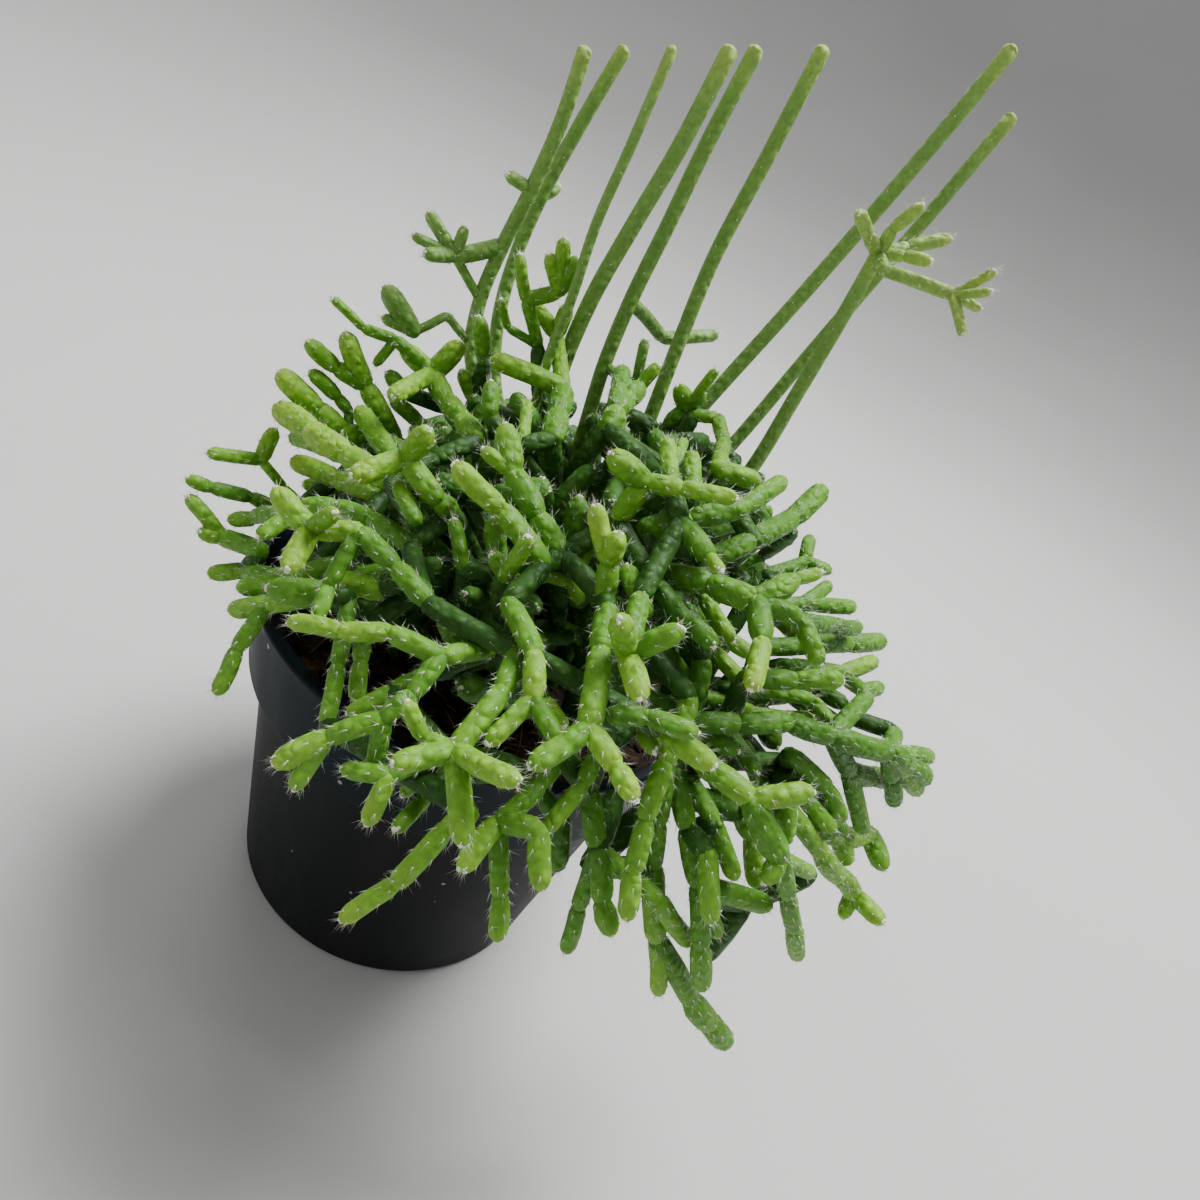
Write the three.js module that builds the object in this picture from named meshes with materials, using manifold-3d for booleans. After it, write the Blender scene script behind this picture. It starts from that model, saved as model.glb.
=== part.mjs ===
// A potted coral cactus: a round black plastic pot, its soil, and a mound of short jointed branchlets
// with long thin stems standing out of it. Millimetres, +Z up. The origin is the middle of the pot's
// base and the front is -Y.
import * as THREE from 'three';
import { mergeVertices } from 'three/addons/utils/BufferGeometryUtils.js';
import Module from 'manifold-3d';

const wasm = await Module();
wasm.setup();

// Pot: a tapered round shell with a taller band round its top.
const POT_HEIGHT = 95;
const LIP_RADIUS = 60;
const LIP_WIDTH = 3;
const LIP_DROP = 1.6;
const LIP_EDGE = 1;
const BAND_HEIGHT = 25;
const BAND_BOTTOM_RADIUS = 56.4;
const BODY_TOP_RADIUS = 53;
const BASE_RADIUS = 45;
const BASE_EDGE = 2;
const WALL = 1.4;
const BAND_WALL = 2.4;
const FLOOR = 2;
const POT_SIDES = 32;
const DRAIN_HOLES = 6;
const DRAIN_RADIUS = 3.5;
const DRAIN_CIRCLE = 30;
const DRAIN_SIDES = 8;
const BAND_STEP = 2.4;
const LEDGE_RISE = 0.6;

// Soil: one lump that fills the pot to just under the lip, with a shallow relief.
const GAP = 0.35;
const SOIL_TOP = 86.5;
const SOIL_INSET = 0.5;
const SOIL_RELIEF = 1;
const SOIL_RINGS = 3;
const SOIL_WAVES = [[0.21, 0.17, 1, 0.35], [0.11, -0.31, 0, 0.35], [0.21, -0.17, 1, 0.3]];
const HOLE_DEPTH = 9;
const COLLAR_RISE = 3;
const HOLE_SIDES = 6;
const BARK_PLACE = [-42, -3];
const BARK_SIZE = [8, 4.5, 1.4];
const BARK_TURN = 0.4;
const BARK_TAPER = 0.6;
const BARK_END = 0.2;

// The picture that the joints below were read in is PICTURE_WIDTH points wide and high. It is seen from
// VIEW_FROM, looking down by VIEW_PITCH along +Y, and turned by VIEW_ROLL.
const PICTURE_WIDTH = 1200;
const VIEW_FOCAL = 811;
const VIEW_FROM = [22.2, -176.4, 211.7];
const VIEW_PITCH = THREE.MathUtils.degToRad(29.6);
const VIEW_ROLL = THREE.MathUtils.degToRad(27.4);

// The mound of branchlets is an egg shape. A joint at level 1 lies on it, on the viewer's side.
const MOUND_MIDDLE = [24, -6, 84];
const MOUND_RADII = [84, 78, 80];

// Each stem has its root in a slot of a spiral over the soil. The slots lean outward like a fan.
const CROWN = [6, 2, 88];
const SLOTS = 31;
const SLOT_SPREAD = 41;
const SLOT_TURN = THREE.MathUtils.degToRad(137.508);
const HUB_REACH = 33;
const HUB_LEAN = THREE.MathUtils.degToRad(78);
const TRUNK_RADIUS = 2.3;
const LINK_RADIUS = 1.9;
const LINK_LENGTH = 24;
const LINK_ARCH = 0.08;
const LOAD_WEIGHT = 0.008;
const INWARD_COST = 2;
const INWARD_STEP = 6;

// Clearance between pieces, and how the joints are eased apart until they keep it.
const CLEAR = 0.4;
const POT_CLEAR = 0.2;
const POT_TESTS = [0, 0.25, 0.5, 0.75, 1];
const RIM_REACH = 8;
const EASE_ROUNDS = 160;
const SIDE_EASE = 0.3;
const THIN_SLACK = 0.06;
const THINNEST = 0.8;

// Branchlets that the rule adds where the picture doesn't show any.
const FILL_SEED = 20641;
const FILL_DRAWS = 150;
const FILL_COUNT = 62;
const FILL_LENGTH = [12, 18];
const FILL_RADIUS = [2.2, 2.8];
const FILL_SPREAD = 0.75;
const FILL_LIFT = 0.4;
const FILL_FACING = 0.25;
const FILL_LOW_LEVEL = 0.5;
const FILL_NEAR_LEVEL = 0.9;
const FILL_FAR_LEVEL = 1.02;
const FILL_FREE_SHARE = 0.6;

// Rings of a branchlet inside a chain and of the last one: [share of its length, share of its radius].
const BRANCHLET_SECTIONS = [[0, 0.6], [0.5, 1]];
const TIP_SECTIONS = [[0, 0.5], [0.62, 1]];
const BRANCHLET_SIDES = 4;
const STEM_SIDES = 6;
const STEM_END = 0.7;
const SINK = 0.3;
const TIP_REACH = 0.35;
const STEEP = 0.9;
const TINY = 1e-6;

// A plain repeatable draw: each state is the last one times RANDOM_FACTOR, within RANDOM_RANGE.
const RANDOM_FACTOR = 16807;
const RANDOM_RANGE = 2147483647;

// Long stems: [thickness, then each joint's place in the picture and its depth along +Y in mm].
const LONG_STEMS = {
  stem_1: { thickness: 3.7, joints: [[585, 50, 14], [561, 122, 14], [531, 190, 14], [503, 245, 14],
    [480, 300, 13], [471, 345, 11], [482, 420, 9]] },
  stem_2: { thickness: 3.7, joints: [[624, 50, 25], [580, 125, 25], [542, 195, 24], [516, 255, 23],
    [500, 310, 21], [494, 370, 19], [503, 440, 17]] },
  stem_3: { thickness: 2.5, joints: [[672, 50, 0], [630, 148, 0], [597, 222, 0], [571, 300, 0],
    [546, 365, 0], [528, 430, 0]] },
  stem_4: { thickness: 4.1, joints: [[730, 50, 12], [678, 150, 12], [634, 224, 12], [590, 302, 11],
    [560, 375, 10], [545, 440, 9]] },
  stem_5: { thickness: 3.9, joints: [[756, 50, 20], [704, 150, 20], [668, 225, 20], [630, 302, 19],
    [604, 365, 18], [584, 430, 17]] },
  stem_6: { thickness: 3.9, joints: [[823, 50, 30], [770, 152, 30], [712, 262, 29], [676, 350, 27],
    [645, 430, 24]] },
  stem_7: { thickness: 3.9, joints: [[1011, 50, 38], [955, 118, 37], [880, 206, 36], [780, 320, 33],
    [706, 402, 29], [660, 455, 26]] },
  stem_8: { thickness: 3.7, joints: [[1011, 118, 50], [930, 214, 48], [880, 272, 46], [812, 351, 43],
    [731, 446, 38], [690, 490, 34]] },
  stem_9: { thickness: 3.9, joints: [[878, 254, 24], [858, 290, 24], [836, 328, 24], [798, 392, 23],
    [752, 468, 21], [720, 510, 18]] },
};
const LONG_STEM_ROOTS = {
  stem_1: [-20, 4], stem_2: [-12, 18], stem_3: [-14, -10], stem_4: [-3, 0], stem_5: [2, 14],
  stem_6: [12, 26], stem_7: [22, 14], stem_8: [30, 26], stem_9: [32, 4],
};

// Shoots on the long stems: [width in the picture, depth along +Y at the first and at the last joint, then
// the joints' places in the picture]. A shoot that starts at another shoot's joint grows from it.
const STEM_SHOOTS = {
  stem_1: [
    [17, 14, 8, 503, 245, 455, 256],
    [10, 13, 8, 480, 300, 455, 256],
    [14, 8, 6, 455, 256, 429, 213],
    [11, 8, 3, 455, 256, 414, 236],
    [15, 8, 2, 455, 256, 426, 254],
    [13, 14, 10, 531, 190, 508, 175],
    [9, 11, 4, 471, 345, 447, 315, 414, 332],
    [22, 4, 0, 414, 332, 387, 289],
  ],
  stem_2: [
    [13, 24, 27, 542, 195, 558, 187],
  ],
  stem_5: [
    [13, 19, 44, 630, 302, 662, 338, 716, 335],
    [11, 18, 14, 604, 365, 636, 385, 645, 341],
  ],
  stem_9: [
    [14, 24, 14, 878, 254, 868, 236, 859, 213],
    [14, 24, 20, 878, 254, 893, 228, 921, 206],
    [14, 24, 30, 878, 254, 908, 247, 949, 239],
    [14, 24, 12, 878, 254, 884, 270, 953, 295],
    [10, 12, 10, 953, 295, 994, 272],
    [10, 12, 14, 953, 295, 979, 309],
    [11, 12, 4, 953, 295, 963, 334],
  ],
};

// Shoots of the mound: [width in the picture, level of the first and of the last joint, then the joints'
// places in the picture]. A width may be a pair, for the first and the last piece.
const LEFT_SHOOTS = [
  [10, 0.9, 1, 300, 506, 284, 488, 261, 460],
  [14, 1, 1, 261, 460, 209, 453],
  [16, 1, 1, 261, 460, 275, 428],
  [15, 0.9, 1, 290, 512, 250, 497, 211, 488, 188, 480],
  [[20, 18], 0.95, 1.02, 262, 568, 226, 530, 201, 532],
  [16, 1, 1, 226, 530, 190, 496],
  [21, 0.95, 1.02, 412, 546, 370, 518, 335, 507, 300, 508],
  [16, 1, 1.04, 300, 508, 254, 518, 227, 527],
  [22, 1.02, 1.14, 425, 608, 395, 566, 360, 531, 311, 530],
  [25, 1.14, 1.22, 311, 530, 277, 491],
  [25, 1.14, 1.2, 311, 530, 289, 568],
  [18, 1.08, 1.12, 360, 531, 328, 587, 317, 618],
  [18, 0.92, 0.98, 300, 575, 243, 578, 211, 573],
  [21, 0.98, 1.02, 300, 575, 240, 589],
  [28, 1.02, 1.1, 325, 592, 271, 589],
  [21, 0.95, 1.02, 310, 598, 268, 604, 233, 608],
  [17, 1, 1.03, 268, 604, 236, 650, 217, 692],
];
const FRONT_SHOOTS = [
  [22, 0.98, 1.1, 500, 640, 443, 650],
  [[22, 19], 1.1, 1.16, 443, 650, 390, 632, 340, 631, 291, 622],
  [22, 1.1, 1.16, 443, 650, 412, 695, 383, 719, 328, 738],
  [26, 1.16, 1.2, 328, 738, 277, 763],
  [20, 1.16, 1.18, 328, 738, 295, 787],
  [18, 0.96, 1.02, 350, 598, 338, 665, 331, 716],
  [19, 0.94, 1.04, 432, 672, 392, 690, 350, 713],
  [25, 1.04, 1.2, 520, 650, 505, 690, 457, 751],
  [26, 1.2, 1.28, 457, 751, 396, 763],
  [25, 1.2, 1.3, 457, 751, 516, 780],
  [26, 1.2, 1.26, 457, 751, 463, 842],
  [20, 1.02, 1.14, 440, 765, 388, 785, 344, 769],
  [21, 1.12, 1.14, 388, 785, 368, 822],
  [18, 1.02, 1.1, 440, 765, 420, 799, 396, 829],
  [[26, 20], 1.06, 1.2, 480, 800, 446, 828, 395, 884, 343, 919],
  [24, 1, 1.14, 505, 608, 532, 658, 533, 699],
  [20, 1.14, 1.18, 533, 699, 487, 741],
  [21, 1.14, 1.18, 533, 699, 557, 737],
  [21, 1, 1.12, 560, 755, 540, 785, 498, 822],
  [24, 1.12, 1.2, 498, 822, 463, 868],
  [24, 1.12, 1.18, 498, 822, 539, 830, 541, 887],
  [21, 1.12, 1.16, 498, 822, 500, 897, 497, 938],
  [28, 1.04, 1.2, 608, 610, 603, 650, 589, 729],
  [26, 1.2, 1.26, 589, 729, 533, 765],
  [25, 1.2, 1.28, 589, 729, 616, 768, 633, 797],
  [24, 1.04, 1.14, 640, 600, 625, 655],
  [28, 1.14, 1.26, 625, 655, 620, 621],
  [27, 1.14, 1.24, 625, 655, 640, 696],
  [25, 1.14, 1.22, 625, 655, 680, 631],
  [26, 1.08, 1.14, 665, 730, 712, 764],
];
const HANGING_SHOOTS = [
  [24, 0.96, 1.06, 588, 790, 597, 848, 602, 902, 611, 932],
  [18, 0.98, 1, 597, 848, 578, 908, 566, 950],
  [19, 0.98, 0.98, 597, 848, 632, 878, 657, 896, 689, 942],
  [22, 1, 1.08, 690, 700, 668, 762, 645, 820, 632, 873, 627, 917],
  [20, 0.94, 0.98, 668, 762, 663, 822, 656, 872],
  [[24, 18], 0.98, 1, 656, 872, 661, 943, 658, 992],
  [[22, 24], 1, 1.02, 661, 943, 692, 1001, 726, 1041],
  [22, 0.98, 1.03, 682, 770, 684, 830, 698, 885, 697, 945, 700, 985],
  [22, 0.97, 1, 698, 885, 768, 903],
  [19, 0.96, 1.02, 690, 770, 715, 823, 735, 877],
  [20, 0.9, 0.97, 712, 755, 739, 812, 752, 838, 757, 888],
  [26, 0.98, 1.08, 690, 762, 752, 800],
  [24, 1.08, 1.12, 752, 800, 810, 792],
  [[30, 22], 1.08, 1.1, 752, 800, 780, 858, 767, 881],
  [16, 1.05, 1.02, 780, 858, 811, 873],
  [18, 1.05, 1.02, 780, 858, 793, 929, 797, 955],
  [20, 0.95, 1, 775, 800, 818, 853, 853, 894, 881, 921],
  [20, 0.94, 0.98, 785, 818, 845, 836, 870, 832],
  [22, 0.98, 1, 870, 832, 883, 867],
];
const RIGHT_SHOOTS = [
  [[22, 24], 0.98, 1.06, 645, 695, 692, 720, 740, 723, 790, 722, 832, 736, 888, 752, 923, 778],
  [18, 1.04, 1.02, 888, 752, 895, 732],
  [18, 1.04, 1.04, 888, 752, 928, 757],
  [18, 1.04, 1.02, 888, 752, 893, 802],
  [20, 1, 0.98, 832, 736, 850, 772, 886, 781],
  [18, 0.98, 0.98, 850, 772, 859, 832],
  [18, 1, 1, 832, 736, 868, 697],
  [22, 0.98, 1.08, 745, 677, 797, 681, 840, 680],
  [16, 0.93, 0.97, 790, 662, 842, 672, 862, 690, 879, 687],
  [19, 0.9, 0.96, 762, 652, 812, 650, 881, 641],
  [28, 0.98, 1.1, 655, 575, 710, 583, 757, 600],
  [[26, 22], 1.1, 1.2, 757, 600, 762, 640, 752, 687],
  [21, 1.1, 1.14, 757, 600, 802, 621, 819, 662],
  [25, 1.08, 1.12, 757, 600, 794, 580],
  [14, 1.12, 1.14, 794, 580, 820, 573],
  [16, 0.96, 0.98, 780, 605, 803, 603, 852, 607],
  [16, 1.02, 0.98, 802, 621, 857, 627],
  [14, 0.94, 0.97, 765, 575, 805, 562, 810, 538],
  [[25, 14], 1.02, 1.12, 680, 525, 709, 557, 720, 570],
  [[28, 19], 0.98, 1.06, 640, 530, 690, 520, 745, 507, 783, 481],
  [22, 0.88, 0.97, 705, 560, 752, 540, 793, 518, 822, 490],
  [22, 1, 1.08, 660, 584, 688, 624, 713, 644],
  [19, 0.9, 0.94, 689, 735, 728, 763],
  [18, 0.86, 0.92, 711, 728, 745, 780],
  [18, 0.82, 0.9, 745, 735, 767, 791],
  [18, 0.88, 0.96, 784, 762, 812, 802, 838, 834],
  [19, 0.8, 0.86, 694, 690, 745, 696, 790, 694],
];
const TOP_SHOOTS = [
  [24, 0.98, 1.08, 620, 520, 645, 482],
  [28, 1.08, 1.14, 645, 482, 613, 456],
  [[20, 18], 1.08, 1.12, 645, 482, 682, 488, 734, 498],
  [18, 1.02, 1.04, 670, 484, 668, 442],
  [19, 1, 1, 694, 495, 692, 455],
  [[13, 20], 0.94, 1, 690, 412, 718, 418, 724, 441, 718, 470, 757, 482],
  [20, 0.9, 1, 672, 430, 690, 412, 679, 388],
  [11, 0.98, 1, 690, 412, 716, 371],
  [[28, 14], 0.95, 1.02, 608, 430, 616, 412, 638, 388, 658, 366],
  [[24, 16], 0.94, 1.02, 552, 440, 552, 385, 550, 335],
  [16, 1.02, 1.04, 550, 335, 532, 307],
  [17, 1.02, 1.04, 550, 335, 567, 307],
  [20, 1, 1.05, 552, 385, 495, 359],
  [13, -0.6, -0.8, 540, 345, 529, 300, 520, 256],
  [16, -0.7, -0.72, 529, 300, 560, 293, 550, 256],
  [16, -0.7, -0.72, 560, 293, 564, 241],
  [26, 0.96, 1.08, 560, 555, 537, 515, 512, 472, 505, 428],
  [24, 0.98, 1.14, 545, 565, 500, 508, 457, 466],
  [24, 0.98, 1.1, 604, 600, 609, 562, 618, 535],
  [21, 1.04, 1.12, 609, 562, 596, 507],
  [24, 0.94, 1.06, 452, 512, 437, 500, 405, 458],
  [25, 1.06, 1.12, 405, 458, 354, 476],
  [25, 1.06, 1.12, 405, 458, 427, 431],
  [26, 0.98, 1.06, 390, 480, 344, 453, 279, 412],
  [20, 0.88, 0.98, 385, 495, 337, 479, 295, 462],
  [20, 0.9, 0.95, 375, 450, 348, 436, 312, 411],
  [[10, 16], 0.95, 1, 348, 436, 347, 413, 333, 400, 305, 379],
  [25, 0.96, 1.03, 348, 436, 318, 408, 285, 371],
  [21, 0.9, 1, 395, 440, 362, 386, 346, 335],
  [19, 0.95, 0.98, 362, 386, 343, 365, 309, 343],
  [22, 0.92, 1.02, 478, 440, 446, 400, 432, 374],
  [[14, 10], 0.86, 0.98, 432, 374, 398, 342, 361, 329, 333, 299],
  [21, 1.02, 1.05, 432, 374, 402, 346],
  [22, 1.02, 1.06, 432, 374, 460, 345],
  [20, 1, 1.05, 432, 374, 393, 396],
];
const MOUND_SHOOTS = [...LEFT_SHOOTS, ...FRONT_SHOOTS, ...HANGING_SHOOTS, ...RIGHT_SHOOTS, ...TOP_SHOOTS];

// The mound's outline in the picture, which the added branchlets keep inside. It dips in at the front
// left, where the soil shows.
const MOUND_OUTLINE = [
  [285, 385], [345, 335], [440, 340], [550, 330], [650, 385], [730, 410], [770, 460], [830, 510],
  [850, 590], [880, 660], [870, 720], [915, 770], [875, 860], [800, 915], [700, 980], [645, 940],
  [560, 900], [480, 850], [420, 790], [395, 750], [455, 690], [440, 612], [330, 598], [240, 600],
  [225, 520],
];

const MATERIALS = {
  pot: { color: 0x14191d, roughness: 0.38 },
  soil: { color: 0x2b2018, roughness: 0.95 },
  bark: { color: 0x6b3a26, roughness: 0.9 },
  stem: { color: 0x4a7a2c, roughness: 0.5 },
  spray: { color: 0x4f8a25, roughness: 0.5 },
};

const sum = (a, b) => [a[0] + b[0], a[1] + b[1], a[2] + b[2]];
const difference = (a, b) => [a[0] - b[0], a[1] - b[1], a[2] - b[2]];
const scaled = (a, k) => [a[0] * k, a[1] * k, a[2] * k];
const dot = (a, b) => a[0] * b[0] + a[1] * b[1] + a[2] * b[2];
const cross = (a, b) => [
  a[1] * b[2] - a[2] * b[1],
  a[2] * b[0] - a[0] * b[2],
  a[0] * b[1] - a[1] * b[0],
];
const size = (a) => Math.sqrt(dot(a, a));
const unit = (a) => scaled(a, 1 / size(a));
const between = (a, b, t) => sum(scaled(a, 1 - t), scaled(b, t));
const clamp = (value, low, high) => Math.min(Math.max(value, low), high);

const VIEW_AHEAD = [0, Math.cos(VIEW_PITCH), -Math.sin(VIEW_PITCH)];
const VIEW_RIGHT = [
  Math.cos(VIEW_ROLL),
  Math.sin(VIEW_ROLL) * Math.sin(VIEW_PITCH),
  Math.sin(VIEW_ROLL) * Math.cos(VIEW_PITCH),
];
const VIEW_UP = [
  -Math.sin(VIEW_ROLL),
  Math.cos(VIEW_ROLL) * Math.sin(VIEW_PITCH),
  Math.cos(VIEW_ROLL) * Math.cos(VIEW_PITCH),
];

function seededRandom(seed) {
  let state = seed;
  return () => {
    state = (state * RANDOM_FACTOR) % RANDOM_RANGE;
    return state / RANDOM_RANGE;
  };
}

function rayThrough(across, down) {
  const u = (across - PICTURE_WIDTH / 2) / VIEW_FOCAL;
  const v = (down - PICTURE_WIDTH / 2) / VIEW_FOCAL;
  return unit(sum(VIEW_AHEAD, sum(scaled(VIEW_RIGHT, u), scaled(VIEW_UP, -v))));
}

function depthOf(place) {
  return dot(difference(place, VIEW_FROM), VIEW_AHEAD);
}

function pictureOf(place) {
  const seen = difference(place, VIEW_FROM);
  const scale = VIEW_FOCAL / depthOf(place);
  const across = PICTURE_WIDTH / 2 + scale * dot(seen, VIEW_RIGHT);
  const down = PICTURE_WIDTH / 2 - scale * dot(seen, VIEW_UP);
  return [across, down];
}

function inMoundUnits(vector) {
  return [vector[0] / MOUND_RADII[0], vector[1] / MOUND_RADII[1], vector[2] / MOUND_RADII[2]];
}

// The place where the line of sight meets the mound's shell at a level, or passes nearest to its middle.
function placeAtLevel(across, down, level) {
  const ray = rayThrough(across, down);
  const from = inMoundUnits(difference(VIEW_FROM, MOUND_MIDDLE));
  const along = inMoundUnits(ray);
  const nearest = -dot(from, along) / dot(along, along);
  const miss = sum(from, scaled(along, nearest));
  const half = Math.sqrt(Math.max(level * level - dot(miss, miss), 0) / dot(along, along));
  return sum(VIEW_FROM, scaled(ray, nearest - Math.sign(level) * half));
}

function placeAtDepth(across, down, depth) {
  const ray = rayThrough(across, down);
  return sum(VIEW_FROM, scaled(ray, (depth - VIEW_FROM[1]) / ray[1]));
}

// The plant's skeleton: joints, pieces that run between two joints, and chains of pieces end to end.
const plant = { joints: [], pieces: [], chains: [], named: new Map() };

function addJoint(place, extra = {}) {
  plant.joints.push({ place, body: null, held: false, ray: null, ...extra });
  return plant.joints.length - 1;
}

// Adds a piece to the chain that it continues, or starts a chain with it.
function addPiece(first, last, radius, kind, chain = { pieces: [] }) {
  const piece = { first, last, radius, kind };
  plant.pieces.push(piece);
  if (chain.pieces.length === 0) plant.chains.push(chain);
  chain.pieces.push(piece);
  return chain;
}

// Root slots on a spiral over the soil, with the direction that each one leans in.
function rootSlots() {
  return Array.from({ length: SLOTS }, (_, index) => {
    const share = Math.sqrt((index + 0.5) / SLOTS);
    const turn = index * SLOT_TURN;
    const lean = share * HUB_LEAN;
    const place = [
      CROWN[0] + SLOT_SPREAD * share * Math.cos(turn),
      CROWN[1] + SLOT_SPREAD * share * Math.sin(turn),
    ];
    const out = [Math.sin(lean) * Math.cos(turn), Math.sin(lean) * Math.sin(turn), Math.cos(lean)];
    return { place, out, taken: false };
  });
}

function takeSlotNear(slots, [x, y]) {
  const free = slots.filter((slot) => !slot.taken);
  const gapTo = (slot) => Math.hypot(slot.place[0] - x, slot.place[1] - y);
  const best = free.reduce((kept, slot) => (gapTo(slot) < gapTo(kept) ? slot : kept));
  best.taken = true;
  return best;
}

// The part of a stem that stands in its hole in the soil.
function plantRoot(slot, body, radius) {
  const [x, y] = slot.place;
  const foot = addJoint([x, y, SOIL_TOP - HOLE_DEPTH + GAP], { body, held: true });
  const collar = addJoint([x, y, SOIL_TOP + COLLAR_RISE], { body, held: true });
  return { collar, chain: addPiece(foot, collar, radius, 'root') };
}

function growLongStems(slots) {
  for (const [body, stem] of Object.entries(LONG_STEMS)) {
    const slot = takeSlotNear(slots, LONG_STEM_ROOTS[body]);
    const radius = stem.thickness / 2;
    const { collar, chain } = plantRoot(slot, body, radius);
    let lower = collar;
    for (const [across, down, depth] of [...stem.joints].reverse()) {
      const upper = addJoint(placeAtDepth(across, down, depth), { body, held: true });
      addPiece(lower, upper, radius, 'stem', chain);
      plant.named.set(`${across},${down}`, upper);
      lower = upper;
    }
  }
  for (const [body, rows] of Object.entries(STEM_SHOOTS)) {
    for (const row of rows) growShoot(row, placeAtDepth, { body, held: true });
  }
}

// Each free slot gets a spray: a short trunk that leads from the soil to a hub.
function growHubs(slots) {
  return slots.filter((slot) => !slot.taken).map((slot, index) => {
    const body = `spray_${index + 1}`;
    const { collar, chain } = plantRoot(slot, body, TRUNK_RADIUS);
    const hub = addJoint(sum(CROWN, scaled(slot.out, HUB_REACH)), { body });
    addPiece(collar, hub, TRUNK_RADIUS, 'link', chain);
    return { body, out: slot.out };
  });
}

// One shoot of the tables above. Its first joint may be another shoot's.
function growShoot([width, start, end, ...points], placeAt, extra) {
  const widths = Array.isArray(width) ? width : [width, width];
  const count = points.length / 2;
  const chain = { pieces: [] };
  let lower = null;
  for (let index = 0; index < count; index += 1) {
    const [across, down] = [points[2 * index], points[2 * index + 1]];
    const known = plant.named.get(`${across},${down}`);
    if (index === 0 && known !== undefined) {
      lower = known;
      continue;
    }
    const place = placeAt(across, down, start + ((end - start) * index) / (count - 1));
    const joint = addJoint(place, { ray: rayThrough(across, down), ...extra });
    plant.named.set(`${across},${down}`, joint);
    if (index > 0) {
      const wide = widths[0] + ((widths[1] - widths[0]) * (index - 1)) / Math.max(count - 2, 1);
      addPiece(lower, joint, (wide * depthOf(place)) / (2 * VIEW_FOCAL), 'branchlet', chain);
    }
    lower = joint;
  }
}

// Joints reached from a joint along the pieces, itself among them.
function grownFrom(joint) {
  const reached = [joint];
  for (const one of reached) {
    for (const piece of plant.pieces) {
      if (piece.first === one) reached.push(piece.last);
    }
  }
  return reached;
}

// The joints of a body that its shoots may grow from.
function freeJoints(body) {
  return plant.joints.flatMap((joint, index) => (joint.body === body && !joint.held ? [index] : []));
}

// Each loose shoot springs from a spray that leans its way, at the nearest joint nearer the crown.
function joinLooseShoots(sprays) {
  const ends = new Set(plant.pieces.map((piece) => piece.last));
  const loose = plant.joints.flatMap((joint, index) => (joint.body || ends.has(index) ? [] : [index]));
  const reach = (index) => size(difference(plant.joints[index].place, CROWN));
  loose.sort((a, b) => reach(a) - reach(b) || a - b);
  const load = new Map(sprays.map(({ body }) => [body, 0]));
  for (const start of loose) {
    const way = unit(difference(plant.joints[start].place, CROWN));
    const fit = (spray) => dot(spray.out, way) - load.get(spray.body) * LOAD_WEIGHT;
    const { body } = sprays.reduce((kept, spray) => (fit(spray) > fit(kept) ? spray : kept));
    const cost = (index) => {
      const gap = size(difference(plant.joints[index].place, plant.joints[start].place));
      return gap + INWARD_COST * Math.max(0, reach(index) - reach(start) + INWARD_STEP);
    };
    const bases = freeJoints(body);
    const base = bases.reduce((kept, index) => (cost(index) < cost(kept) ? index : kept));
    linkJoints(base, start);
    const grown = grownFrom(start);
    load.set(body, load.get(body) + grown.length);
    for (const joint of grown) plant.joints[joint].body = body;
  }
}

// Leads a spray from a joint to a loose shoot, as the first pieces of that shoot's chain.
function linkJoints(base, start) {
  const from = plant.joints[base].place;
  const to = plant.joints[start].place;
  const span = size(difference(to, from));
  const count = Math.max(1, Math.round(span / LINK_LENGTH));
  const links = [];
  let lower = base;
  for (let index = 1; index <= count; index += 1) {
    const share = index / count;
    const arch = [0, 0, LINK_ARCH * span * Math.sin(Math.PI * share)];
    const place = sum(between(from, to, share), arch);
    const upper = index < count ? addJoint(place, { body: plant.joints[base].body }) : start;
    links.push({ first: lower, last: upper, radius: LINK_RADIUS, kind: 'link' });
    lower = upper;
  }
  plant.pieces.push(...links);
  const chain = plant.chains.find(({ pieces }) => pieces[0].first === start);
  chain.pieces.unshift(...links);
}

// The nearest points of two straight pieces, as their shares along the pieces.
function nearestShares(a, b, c, d) {
  const u = difference(b, a);
  const v = difference(d, c);
  const w = difference(a, c);
  const uu = dot(u, u);
  const vv = dot(v, v);
  const uv = dot(u, v);
  const uw = dot(u, w);
  const vw = dot(v, w);
  const spread = uu * vv - uv * uv;
  const s0 = spread > TINY ? clamp((uv * vw - vv * uw) / spread, 0, 1) : 0.5;
  const t = clamp((uv * s0 + vw) / vv, 0, 1);
  const s = clamp((uv * t - uw) / uu, 0, 1);
  return [s, t];
}

// How far a round piece's middle must move to stand clear of the pot and the soil.
function outOfPot(place, radius) {
  const keep = radius + CLEAR + POT_CLEAR;
  const out = Math.hypot(place[0], place[1]);
  const rise = (height) => [0, 0, Math.max(0, height - place[2])];
  const innerRim = LIP_RADIUS - LIP_WIDTH - WALL;
  if (out < innerRim - keep) return rise(SOIL_TOP + SOIL_RELIEF + keep);
  if (out > LIP_RADIUS + keep || place[2] > POT_HEIGHT + keep) return [0, 0, 0];
  if (place[2] > POT_HEIGHT - RIM_REACH) return rise(POT_HEIGHT + keep);
  const target = out < LIP_RADIUS ? innerRim - keep : LIP_RADIUS + keep;
  return [(place[0] * (target - out)) / out, (place[1] * (target - out)) / out, 0];
}

function isHeld(piece) {
  return plant.joints[piece.first].held && plant.joints[piece.last].held;
}

function bodyOf(piece) {
  return plant.joints[piece.last].body;
}

function touching(one, two) {
  return [one.first, one.last].some((joint) => joint === two.first || joint === two.last);
}

function endsOf(piece) {
  return [plant.joints[piece.first].place, plant.joints[piece.last].place];
}

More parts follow.
